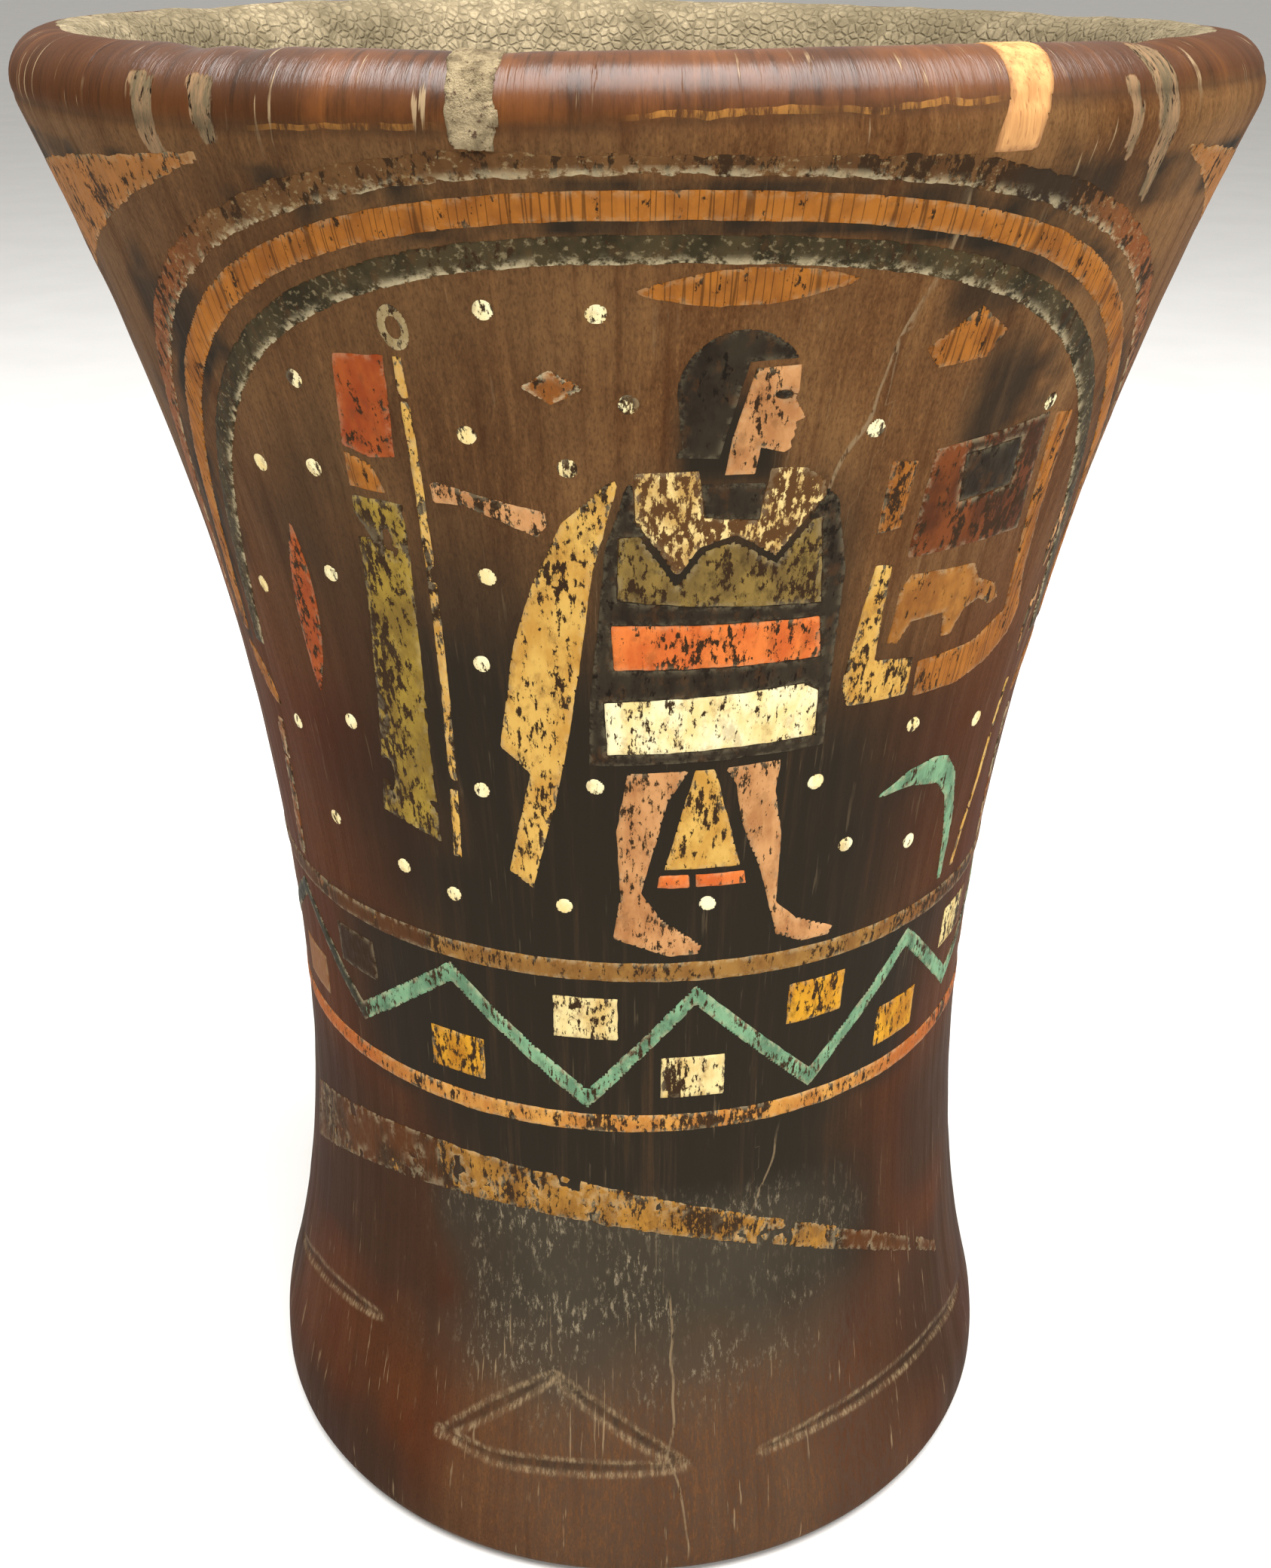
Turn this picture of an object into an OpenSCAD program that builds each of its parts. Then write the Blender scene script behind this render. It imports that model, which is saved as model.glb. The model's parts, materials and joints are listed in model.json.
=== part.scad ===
// Flared drinking cup of carved wood, with coloured resin pieces let into its wall.
// Millimetres, +Z up, origin at the middle of the base, front of the cup toward -Y.
// Azimuths are degrees round the cup from the front, positive to the right.

/* [Cup] */
// Height of the cup
height = 200; // [192:1:210]
// Radius of the foot at its widest
foot_r = 57; // [55:0.5:59]
// Radius at the waist
waist_r = 49; // [47:0.5:51]
// Height of the waist
waist_z = 68; // [64:1:70]
// Radius of the arc that flares the wall above the waist
flare_arc_r = 340; // [320:5:380]
// Radius of the arc that spreads the wall below the waist
lower_arc_r = 230; // [210:5:250]
// Radius of the swell of the foot
foot_arc_r = 40; // [32:1:48]
// Rounding between the foot and the base
base_edge_r = 2.5; // [1:0.5:4]
// Thickness of the wall, rounded over at the lip
wall_t = 11; // [10:0.5:13]
// Thickness of the floor
floor_t = 24; // [18:1:30]
// Fillet between the wall and the floor inside
floor_fillet_r = 14; // [8:1:20]
// Thickness of the dried coating inside
coating_t = 0.8; // [0.5:0.1:1.2]
// Distance of the groove under the lip from the top
lip_groove_drop = 5.5; // [5:0.1:6]
// Radius of the groove under the lip
lip_groove_r = 0.5; // [0.3:0.1:0.6]

/* [Inlays] */
// Thickness of the inlaid resin
inlay_t = 1.2; // [0.8:0.1:2]
// Gap all round a piece in its recess
fit_gap = 0.1; // [0.05:0.05:0.15]
// Width of the wood left between two neighbouring pieces
ridge_w = 0.7; // [0.6:0.1:0.9]
// Turns of the panel round the cup, front and back
panel_turns = [0, 180];

/* [Bands] */
// Height of the top of the ground line
ground_z = 98; // [96:0.5:101]
// Width of the ground line
ground_w = 2.8; // [2:0.1:3.2]
// Height of the lower edge of the lower band
lower_band_z = 72; // [71:0.5:73]
// Width of the lower band
lower_band_w = 2.6; // [2:0.1:3.2]
// Count of the peaks of the zigzag
zigzag_count = 10; // [8:1:12]
// Upright width of the zigzag stroke
zigzag_w = 3; // [2.4:0.1:3.6]
// Azimuth of one peak of the zigzag
zigzag_az = 9; // [0:1:18]
// Width of a tile between the zigzag strokes
tile_w = 8; // [6:0.5:8.5]
// Height of a tile
tile_h = 6.2; // [4.5:0.1:6.6]
// Distance of a tile from the upper or lower end of the zigzag
tile_set_in = 2; // [1.5:0.1:2.2]

/* [Arch] */
// Azimuth of the middle of the arch
arch_az = 4; // [2:0.5:6]
// Distance of the middle of the orange band from the top of the cup, at the crown
arch_crown_drop = 12; // [11.5:0.1:13]
// Half the spread of the orange band at the ground line, degrees
arch_half_span = 69; // [66:0.5:70]
// Width of an arch band
arch_band_w = 2.6; // [2:0.1:2.8]
// Distance from one band to the next at the crown
arch_pitch = 3.9; // [3.6:0.1:4]
// Distance from one band to the next at the legs, degrees
arch_span_step = 5.5; // [4.5:0.1:6]
// Fullness of the arch, 2 being an ellipse
arch_power = 2.5; // [2.2:0.1:2.8]
// Height of the ends of the legs over the ground line
arch_leg_end = 33; // [30:1:36]
// Length of the leaf at the end of each leg
leg_leaf_l = 10; // [8:0.5:11]
// Width of the leaf at the end of each leg
leg_leaf_w = 3.4; // [2.5:0.1:4]
// Width of the strip from the arch leg to the ground line
leg_strip_w = 2; // [1.4:0.1:2.4]
// Top of the triangle between two arches, under the lip
spandrel_drop = 9; // [8.5:0.1:10]
// Depth of the triangle between two arches
spandrel_h = 25; // [20:1:28]
// Spread of the triangle between two arches to the left of its point, degrees
spandrel_left_span = 46; // [42:1:50]
// Spread of the triangle between two arches to the right of its point, degrees
spandrel_right_span = 54; // [45:1:56]
// Dip of the upper edge of the triangle over its point
spandrel_dip = 7; // [2:0.5:8]

/* [Figure] */
// Azimuth of the middle of the figure
figure_az = 9; // [8:0.5:10]
// Height of the figure from the ground line to the top of the hair
figure_h = 78.5; // [76:0.5:79]
// Length of the plume over the head
plume_l = 21.5; // [18:0.5:23]
// Tilt of the plume over the head, degrees
plume_tilt = 3; // [0:0.5:4]
// Width of the plume over the head
plume_w = 3.6; // [3:0.1:4]
// Height of the middle of the plume over the ground line
plume_z = 82.6; // [82.2:0.1:82.8]

/* [Standard and shield] */
// Azimuth of the staff and its banner
banner_az = -25; // [-27:0.5:-24]
// Height of the staff with its ring
staff_h = 80; // [78:0.5:81]
// Azimuth of the outstretched arm
arm_az = -15; // [-15.5:0.5:-14.5]
// Azimuth of the shield
shield_az = 38; // [37.5:0.5:40]
// Height of the top of the shield over the ground line
shield_h = 66; // [64:0.5:67]
// Azimuth of the sickle
sickle_az = 43; // [41:0.5:44]
// Height of the sickle over the ground line
sickle_h = 22.4; // [20:0.2:24]
// Azimuth of the stalk beside the sickle
stalk_az = 57; // [56:0.5:59]
// Height of the top of the stalk over the ground line
stalk_h = 28; // [24:1:30]
// Width of the stalk
stalk_w = 0.9; // [0.7:0.1:1.2]

/* [Leaves and dots] */
// Diameter of a dot
dot_d = 2; // [1.6:0.1:2.2]
// Length of the red leaf on the left
red_leaf_l = 23.5; // [20:0.5:25]
// Width of the red leaf on the left
red_leaf_w = 3.8; // [3:0.1:4.4]
// Width of the small feathered lozenge
lozenge_w = 6; // [5:0.1:7]
// Height of the small feathered lozenge
lozenge_h = 3.6; // [3:0.1:4.4]
// Length of a side petal
petal_l = 10; // [8:0.5:11]
// Width of a side petal
petal_w = 2.6; // [2:0.1:3]

/* [Foot stripe] */
// Azimuth of the crest of the stripe on the foot
stripe_az = -25; // [-30:1:-20]
// Height of the upper edge of the stripe at its crest
stripe_z = 65; // [62:0.5:66]
// Fall of the stripe for each square degree from its crest
stripe_fall = 0.0042; // [0.003:0.0001:0.005]
// Azimuth of the left end of the stripe
stripe_left = -72; // [-80:1:-60]
// Azimuth of the right end of the stripe
stripe_right = 62; // [50:1:70]
// Width of the stripe at its left end
stripe_left_w = 10; // [6:0.5:11]
// Width of the stripe at its right end
stripe_right_w = 2; // [1.6:0.1:4]
// Depth of the cut lines on the foot
cut_line_t = 0.5; // [0.3:0.1:0.8]
// Width of the cut lines on the foot
cut_line_w = 1.1; // [0.8:0.1:1.6]

/* [Rim repairs] */
// Thickness of the repairs let into the lip
repair_t = 3; // [2:0.1:4]
// Azimuth of the wooden repair
wood_repair_az = 28.5; // [27:0.5:31]
// Width of the wooden repair
wood_repair_w = 6; // [5:0.5:7]
// Height of the wooden repair, down from the top
wood_repair_h = 8; // [7:0.1:8.2]
// Azimuth of the filler repair
filler_az = -11; // [-14:0.5:-8]
// Width of the filler repair
filler_w = 4.5; // [4:0.5:6]
// Height of the filler repair, down from the top
filler_h = 7.6; // [7:0.1:8]

/* [Hidden] */
$fn = 96;
wood = [0.36, 0.22, 0.13];
pale_wood = [0.78, 0.56, 0.36];
filler_grey = [0.62, 0.58, 0.48];
crust = [0.55, 0.50, 0.38];
orange = [0.77, 0.42, 0.13];
red = [0.80, 0.35, 0.20];
ochre = [0.84, 0.64, 0.30];
cream = [0.94, 0.86, 0.60];
olive = [0.52, 0.46, 0.18];
turquoise = [0.42, 0.63, 0.50];
flesh = [0.76, 0.54, 0.40];
dark_green = [0.18, 0.22, 0.16];
black = [0.08, 0.08, 0.07];

// Steps of the arcs of the wall, of the lip and of the small fillets
flare_steps = 14;
lower_steps = 7;
foot_steps = 4;
lip_steps = 14;
fillet_steps = 8;
// Distance that a cutter passes outside the wall
cut_over = 2;
// Height of one straight step of a layer of the wall
wall_step = 9;
// Overlap of two neighbouring chevrons of the zigzag
lap = 0.1;
// Length of a prism from the axis through the wall
prism_reach = foot_r + flare_arc_r / 8;
// Angle of the lip past its top where the outer skin ends
lip_end = 115;

lip_r = wall_t / 2;
flare_cx = waist_r + flare_arc_r;
lip_z = height - lip_r;
lip_phi = asin((lip_z - waist_z) / (flare_arc_r + lip_r));
lip_x = flare_cx - (flare_arc_r + lip_r) * cos(lip_phi);
lower_cx = waist_r + lower_arc_r;
foot_cx = foot_r - foot_arc_r;
foot_dx = lower_cx - foot_cx;
foot_dz = sqrt(pow(lower_arc_r + foot_arc_r, 2) - pow(foot_dx, 2));
foot_cz = waist_z - foot_dz;
foot_phi = atan2(foot_dz, foot_dx);
edge_phi = asin((base_edge_r - foot_cz) / (foot_arc_r - base_edge_r));
edge_x = foot_cx + (foot_arc_r - base_edge_r) * cos(edge_phi);
fillet_x = waist_r - wall_t - floor_fillet_r;
fillet_z = floor_t + floor_fillet_r;
zigzag_top = ground_z - ground_w - ridge_w;
zigzag_bottom = lower_band_z + lower_band_w + ridge_w;
arch_leg_z = ground_z + arch_leg_end;

// Radius of the wall at a height
function flare_r(z) = flare_cx - sqrt(pow(flare_arc_r, 2) - pow(z - waist_z, 2));
function lower_r(z) = lower_cx - sqrt(pow(lower_arc_r, 2) - pow(z - waist_z, 2));
function swell_r(z) = foot_cx + sqrt(pow(foot_arc_r, 2) - pow(z - foot_cz, 2));
function blend_z() = waist_z - lower_arc_r * sin(foot_phi);
function wall_r(z) = z > waist_z ? flare_r(z) : z > blend_z() ? lower_r(z) : swell_r(z);
// Degrees round the cup of a length at a height
function degrees_of(l, z) = l / wall_r(z) * 180 / PI;

// Points of an arc about a centre
function arc(c, r, a, b, n) = [for (i = [0:n]) c + r * [cos(a + (b - a) * i / n), sin(a + (b - a) * i / n)]];
function reversed(list) = [for (i = [len(list) - 1:-1:0]) list[i]];
function bend(list) = [for (i = [1:len(list) - 1]) list[i]];

// Outer skin from the foot to past the top of the lip, moved in by d
function skin(d) = concat(
    arc([foot_cx, foot_cz], foot_arc_r - d, edge_phi, foot_phi, foot_steps),
    bend(arc([lower_cx, waist_z], lower_arc_r + d, 180 + foot_phi, 180, lower_steps)),
    bend(arc([flare_cx, waist_z], flare_arc_r + d, 180, 180 - lip_phi, flare_steps)),
    bend(arc([lip_x, lip_z], lip_r - d, -lip_phi, lip_end, lip_steps)));

// Inside from the lip to the axis, moved in by d
function inside(d) = concat(
    arc([flare_cx, waist_z], flare_arc_r + wall_t + d, 180 - lip_phi, 180, flare_steps),
    arc([fillet_x, fillet_z], floor_fillet_r - d, 0, -90, fillet_steps),
    [[0, floor_t + d]]);

// Line of azimuths and heights on the wall, drawn flat across and up about an azimuth
function flat(line, az) = [for (p = line) [wall_r(p.y) * sin(p.x - az), p.y]];
function heights_of(points) = [for (p = points) p.y];

// Layer of the wall between two heights, from a depth to a distance outside
module wall_layer(low, high, depth, out) {
    steps = ceil((high - low) / wall_step);
    heights = [for (i = [0:steps]) low + (high - low) * i / steps];
    rotate_extrude()
        polygon(concat(
            [for (z = heights) [wall_r(z) + out, z]],
            [for (z = reversed(heights)) [wall_r(z) - depth, z]]));
}

// Outline drawn flat, across and up, and carried from the axis out through the wall
module prism(az)
    rotate([0, 0, az])
        rotate([90, 0, 0])
            linear_extrude(height = prism_reach)
                children();

// Piece of inlay whose outline lies between two heights, or the recess that takes it
module inlay(az, low, high, cut) {
    $grow = cut ? fit_gap : 0;
    intersection() {
        prism(az)
            children();
        wall_layer(low - cut_over, high + cut_over, inlay_t + $grow, cut ? cut_over : 0);
    }
}

// Piece of inlay with one straight-sided outline
module plain_inlay(az, points, cut)
    inlay(az, min(heights_of(points)), max(heights_of(points)), cut)
        grown()
            polygon(points);

// Ring let into the wall between two heights
module ring_inlay(low, high, cut) {
    grow = cut ? fit_gap : 0;
    out = cut ? cut_over : 0;
    a = low - grow;
    b = high + grow;
    rotate_extrude()
        polygon([
            [wall_r(a) - inlay_t - grow, a],
            [wall_r(a) + out, a],
            [wall_r(b) + out, b],
            [wall_r(b) - inlay_t - grow, b]]);
}

// The same piece on each panel of the cup
module panels() {
    for (turn = panel_turns)
        rotate([0, 0, turn])
            children();
}

// Flat outline, grown by $grow where it is a recess
module grown() {
    if ($grow > 0)
        offset(delta = $grow)
            children();
    else
        children();
}

// Pointed leaf between two arcs, about a middle and tilted from level
leaf_steps = 8;
function turned(p, a) = [p.x * cos(a) - p.y * sin(a), p.x * sin(a) + p.y * cos(a)];
function leaf(middle, l, w, tilt) =
    let (
        r = (pow(l, 2) + pow(w, 2)) / (4 * w),
        half = asin(l / 2 / r),
        upper = arc([0, w / 2 - r], r, 90 + half, 90 - half, leaf_steps))
    [for (p = concat(upper, [for (i = [1:leaf_steps - 1]) -upper[i]])) middle + turned(p, tilt)];

// Oval of a width and a height about a middle
function oval(c, w, h, n) = [for (i = [0:n - 1]) c + [w / 2 * cos(360 * i / n), h / 2 * sin(360 * i / n)]];

// Arch bands: rounded-rectangle curves from leg to leg, by formula
arch_steps = 40;
function spread(v) = sign(v) * pow(abs(v), 2 / arch_power);
function arch_crown(k) = height - arch_crown_drop - k * arch_pitch - ground_z;
function arch_line(k, side) =
    let (
        crown = arch_crown(k) + side,
        span = arch_half_span - k * arch_span_step + degrees_of(side, arch_leg_z),
        first = asin(pow(arch_leg_end / crown, arch_power / 2)))
    [for (i = [0:arch_steps])
        let (t = 180 - first - (180 - 2 * first) * i / arch_steps)
        [arch_az + span * spread(cos(t)), ground_z + crown * spread(sin(t))]];

// Opening under the arch: its height over the ground line and half its spread in degrees
opening_h = arch_crown(1) - arch_band_w / 2;
opening_span = arch_half_span - arch_span_step - degrees_of(arch_band_w / 2, arch_leg_z);

// Grid on which the panel under the arch is drawn: azimuth of its middle, degrees in half its
// spread and units in its height
panel_middle = 4;
panel_degrees = 62.14;
panel_units = 84.8;
across = opening_span / panel_degrees;
upward = opening_h / panel_units;
function panel_az(az) = arch_az + (az - panel_middle) * across;
function on_panel(points) = [for (p = points) [p.x * across, ground_z + p.y * upward]];

module arch_band(k, cut) {
    side = arch_band_w / 2;
    panels()
        plain_inlay(
            arch_az,
            flat(concat(arch_line(k, side), reversed(arch_line(k, -side))), arch_az),
            cut);
}

// Azimuth of an arch leg at its end
function leg_az(k) = arch_line(k, 0)[arch_steps].x - arch_az;

module arch_ochre_band(cut = false) color(ochre) arch_band(-1, cut);

module arch_orange_band(cut = false) color(orange) arch_band(0, cut);

module arch_green_band(cut = false) color(dark_green) arch_band(1, cut);

// Leaf that turns inward under the two inner bands of each leg
module arch_leg_leaves(cut = false) {
    tilt = 42;
    middle = arch_leg_z - leg_leaf_l / 2 * sin(tilt) - leg_leaf_w / 2;
    color(orange)
        panels()
            for (side = [-1, 1])
                plain_inlay(
                    arch_az + side * leg_az(0.6),
                    leaf([0, middle], leg_leaf_l, leg_leaf_w, side * tilt),
                    cut);
}

// Worn strip from the leaf of each leg down to the ground line
module arch_leg_strips(cut = false) {
    lean = 3;
    half = leg_strip_w / 2;
    top = arch_leg_z - leg_leaf_l - ridge_w;
    low = ground_z + ridge_w;
    color(ochre)
        panels()
            for (side = [-1, 1])
                plain_inlay(
                    arch_az + side * leg_az(0.3),
                    [[-half, low], [half, low], [half - side * lean, top], [-half - side * lean, top]],
                    cut);
}

// Piece of the panel, front and back, at an azimuth of the grid
module panel_inlay(az, points, cut)
    panels()
        plain_inlay(panel_az(az), on_panel(points), cut);

// Triangles with the point down between two arches
module spandrels(cut = false) {
    top = height - spandrel_drop;
    left = wall_r(top) * sin(spandrel_left_span);
    right = wall_r(top) * sin(spandrel_right_span);
    color(orange)
        panels()
            plain_inlay(
                arch_az - 90,
                [[-left, top], [0, top - spandrel_h], [right, top], [0, top - spandrel_dip]],
                cut);
}

// Figure outlines: across from its middle and up from the ground line, on a grid with so many
// units in the height of the figure
figure_units = 78.5;
function figure(points) = [for (p = points) p * figure_h / figure_units];
function on_figure(points) = on_panel(figure(points));

hair_c = [0, 72.4];
hair_r = 6.1;
hair_from = 32;
hair_to = 195;
hair_edge = [[-5.2, 66.4], [-5.9, 65.4], [-1.5, 65.2], [-1.1, 67.5], [0.55, 75.3]];
// Plain profile on even thirds: hairline to brow, brow to nose, nose to chin
face_points = [
    [1.2, 74.6], [5.5, 74.9], [5.6, 72.2], [5.3, 71.5], [6.6, 69.4], [5.6, 68.9], [5.9, 68.3],
    [5.6, 68], [5.8, 67.5], [5.4, 66.9], [5.6, 66.2], [4.9, 65.7], [2.5, 66.3], [2.2, 63.4],
    [-0.8, 63.4], [-0.4, 67.4]];
eye_c = [4.2, 71.9];
eye_w = 1.7;
eye_h = 0.8;
eye_steps = 16;
collar_points = [
    [-9.8, 63.6], [-3.4, 63.9], [-2.5, 58.6], [3.2, 58.2], [3.8, 64], [7.4, 63.9], [9.6, 62.4],
    [9.9, 60.6], [5.3, 54], [1, 56.6], [-2.6, 55.4], [-4.8, 51.9], [-9.3, 58.4]];
tunic_points = [
    [-10.4, 62.4], [-12.2, 55], [-12.7, 45], [-13.3, 36], [-13.2, 27.9], [13.4, 29], [13.4, 36],
    [13.2, 52], [11.4, 60], [9.4, 62.4]];
olive_points = [[-10.9, 56.4], [-10.8, 49], [-3.6, 48.4], [11, 47.8], [9.8, 58]];
red_points = [[-11.3, 45.9], [11, 46.1], [11.7, 40.9], [-10.8, 40.4]];
cream_points = [[-11.8, 36.2], [10.2, 37.6], [12, 36.4], [12.2, 30.6], [-11.2, 29.4]];
left_leg_points = [
    [-9, 26.9], [-2.2, 27.2], [-4.4, 23], [-5, 20], [-7, 10.2], [-4.6, 6.6], [0.4, 2.4],
    [0, 1.2], [-3.4, 1], [-10.2, 3.6], [-9.4, 9.4], [-10, 19]];
right_leg_points = [
    [2, 27.4], [8.4, 27.8], [8.1, 23.8], [9.3, 17], [9.3, 7.6], [12, 4.8], [17.2, 2.2],
    [16.6, 1], [13, 1], [9.6, 2.8], [7.1, 12.4], [4.2, 20.2], [3.4, 25]];
tassel_points = [[-1.4, 27.2], [0.8, 27.3], [4.6, 13.6], [-4.4, 13.6]];
hem_points = [
    [[-5, 12.8], [-1.5, 12.8], [-1.4, 11], [-5.2, 11]],
    [[-0.7, 12.8], [5, 12.8], [5.4, 11], [-0.6, 11]]];
cape_points = [
    [-11.2, 62.9], [-12.4, 62.4], [-16.6, 57.8], [-19.4, 50.6], [-21.4, 42.6], [-22.8, 29.4],
    [-19.6, 26.2], [-22, 12.2], [-19.4, 10], [-16.8, 22.4], [-15.4, 31.6], [-14.2, 43.2],
    [-13.4, 52.4], [-12, 59]];
arm_points = [
    [-4.9, 61.2], [-4.3, 61.5], [6.9, 59], [7.1, 57.6], [6, 56.2], [-1.6, 59.2], [-4.8, 59.2]];

module figure_inlay(points, cut) panel_inlay(figure_az, figure(points), cut);

module plume(cut = false)
    color(orange)
        panel_inlay(figure_az, leaf([-0.3, plume_z], plume_l, plume_w, plume_tilt), cut);

module hair(cut = false)
    color(black)
        figure_inlay(concat(arc(hair_c, hair_r, hair_from, hair_to, lip_steps), hair_edge), cut);

// Face with an opening for the eye
module face(cut = false) {
    points = on_figure(face_points);
    color(flesh)
        panels()
            inlay(panel_az(figure_az), min(heights_of(points)), max(heights_of(points)), cut)
                difference() {
                    grown()
                        polygon(points);
                    if (!cut)
                        offset(delta = fit_gap)
                            polygon(on_figure(oval(eye_c, eye_w, eye_h, eye_steps)));
                }
}

module eye() color(black) figure_inlay(oval(eye_c, eye_w, eye_h, eye_steps), false);

module collar() color(cream) figure_inlay(collar_points, false);

// Black ground of the tunic, with openings for the collar and the three bands; its recess
// takes the collar too
module tunic(cut = false) {
    points = on_figure(concat(tunic_points, collar_points));
    color(black)
        panels()
            inlay(panel_az(figure_az), min(heights_of(points)), max(heights_of(points)), cut)
                if (cut)
                    grown() {
                        polygon(on_figure(tunic_points));
                        polygon(on_figure(collar_points));
                    }
                else
                    difference() {
                        polygon(on_figure(tunic_points));
                        offset(delta = fit_gap) {
                            polygon(on_figure(collar_points));
                            polygon(on_figure(olive_points));
                        }
                        offset(delta = fit_gap)
                            polygon(on_figure(red_points));
                        offset(delta = fit_gap)
                            polygon(on_figure(cream_points));
                    }
}

// Olive band, cut away round the points of the collar
module tunic_olive_band() {
    points = on_figure(olive_points);
    color(olive)
        panels()
            inlay(panel_az(figure_az), min(heights_of(points)), max(heights_of(points)), false)
                difference() {
                    polygon(points);
                    offset(delta = ridge_w)
                        polygon(on_figure(collar_points));
                }
}

module tunic_red_band() color(red) figure_inlay(red_points, false);

module tunic_cream_band() color(cream) figure_inlay(cream_points, false);

module left_leg(cut = false) color(flesh) figure_inlay(left_leg_points, cut);

module right_leg(cut = false) color(flesh) figure_inlay(right_leg_points, cut);

module tassel(cut = false) color(ochre) figure_inlay(tassel_points, cut);

module tassel_hem(cut = false)
    color(red)
        for (points = hem_points)
            figure_inlay(points, cut);

module cape(cut = false) color(ochre) figure_inlay(cape_points, cut);

module arm(cut = false)
    color(flesh)
        panel_inlay(arm_az, figure(arm_points), cut);

// Standard: a staff with a ring and a hanging banner
staff_units = 80;
function standard(points) = [for (p = points) p * staff_h / staff_units];
function on_staff(points) = on_panel(standard(points));

staff_points = [[4.9, 74.8], [5.9, 74.8], [1.7, 12.8], [0.7, 12.8]];
ring_c = [5.8, 77.7];
ring_w = 3.2;
ring_h = 4.6;
ring_hole = 0.5;
ring_steps = 20;
banner_red_points = [[-2, 74.4], [3.9, 74.8], [2.4, 63.8], [-0.8, 63.3], [-3.8, 64.4]];
banner_orange_points = [[-3.8, 63.6], [-0.8, 62.5], [0.4, 59.3], [-4.1, 59.7]];
banner_olive_points = [
    [-4.1, 58.6], [2.1, 58.4], [0.4, 40.6], [-0.5, 28.4], [-1, 14.4], [-9, 16.8], [-7.4, 29],
    [-5.4, 45.4]];

module banner_inlay(points, cut) panel_inlay(banner_az, standard(points), cut);

module staff(cut = false) color(ochre) banner_inlay(staff_points, cut);

// Ring at the head of the staff, round a pip of wood
module staff_ring(cut = false) {
    rim = on_staff(oval(ring_c, ring_w, ring_h, ring_steps));
    color(cream)
        panels()
            inlay(panel_az(banner_az), min(heights_of(rim)), max(heights_of(rim)), cut)
                difference() {
                    grown()
                        polygon(rim);
                    polygon(on_staff(oval(
                        ring_c,
                        ring_w * ring_hole - 2 * $grow,
                        ring_h * ring_hole - 2 * $grow,
                        ring_steps)));
                }
}

module banner_red(cut = false) color(red) banner_inlay(banner_red_points, cut);

module banner_orange(cut = false) color(orange) banner_inlay(banner_orange_points, cut);

module banner_olive(cut = false) color(olive) banner_inlay(banner_olive_points, cut);

// Shield with its frame, dark middle and a small grazing animal
shield_units = 66;
function shield(points) = [for (p = points) p * shield_h / shield_units];
function on_shield(points) = on_panel(shield(points));

shield_bar_points = [
    [8.8, 65.4], [12.4, 65], [13, 54], [14, 45], [15.6, 39.4], [14.6, 36.4], [11, 34.2], [5, 32.6],
    [-2.4, 32.8], [-2.8, 37.4], [6, 37.8], [11.8, 40.4], [11.2, 46], [10, 54]];
shield_corner_points = [
    [-12.6, 51.4], [-10.5, 51], [-9.4, 39], [-3.8, 38.2], [-3.4, 33.4], [-11.8, 33.6], [-13, 36.4]];
shield_tab_points = [[-14.4, 63.6], [-11.2, 63.2], [-10.9, 55.6], [-13.6, 55.2]];
shield_frame_points = [[-9.2, 64.2], [7.4, 65.8], [8.8, 51.6], [-8.8, 51.6]];
shield_square_points = [[-4.8, 63], [3.4, 63.6], [4.2, 58], [-3.6, 57.4]];
animal_points = [
    [-8.2, 41], [-8.4, 47.6], [-7.4, 49.4], [2.4, 48.8], [3.8, 46.6], [7.6, 45], [9, 42.8],
    [7.4, 42.2], [5, 43.8], [2.6, 42.8], [1.4, 40], [-0.2, 40], [-0.8, 43.4], [-5.4, 43.2],
    [-6.8, 40.6]];

module shield_inlay(points, cut) panel_inlay(shield_az, shield(points), cut);

module shield_bar(cut = false) color(orange) shield_inlay(shield_bar_points, cut);

module shield_corner(cut = false) color(ochre) shield_inlay(shield_corner_points, cut);

module shield_tab(cut = false) color(orange) shield_inlay(shield_tab_points, cut);

// Frame round the dark middle; its recess takes the middle too
module shield_frame(cut = false) {
    points = on_shield(shield_frame_points);
    color(orange)
        panels()
            inlay(panel_az(shield_az), min(heights_of(points)), max(heights_of(points)), cut)
                difference() {
                    grown()
                        polygon(points);
                    if (!cut)
                        offset(delta = fit_gap)
                            polygon(on_shield(shield_square_points));
                }
}

module shield_square() color(dark_green) shield_inlay(shield_square_points, false);

module animal(cut = false) color(ochre) shield_inlay(animal_points, cut);

// Sickle and stalk on the right
sickle_units = 22.4;
sickle_points = [
    [-9.4, 19.4], [-4.4, 22], [0, 22.4], [3, 21.6], [5.6, 18.4], [7.4, 12], [8, 7], [7.7, 1.4],
    [6.9, 1.6], [6.4, 8], [4.2, 15.4], [1.6, 18.2], [-4, 19.6]];
stalk_points = [[2.4, 1], [1.2, 0.5], [-1.8, 0.08]];

module sickle(cut = false)
    color(turquoise)
        panel_inlay(sickle_az, [for (p = sickle_points) p * sickle_h / sickle_units], cut);

module stalk(cut = false) {
    half = stalk_w / 2;
    color(ochre)
        panel_inlay(
            stalk_az,
            concat(
                [for (p = stalk_points) [p.x - half, p.y * stalk_h]],
                [for (p = reversed(stalk_points)) [p.x + half, p.y * stalk_h]]),
            cut);
}

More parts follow.
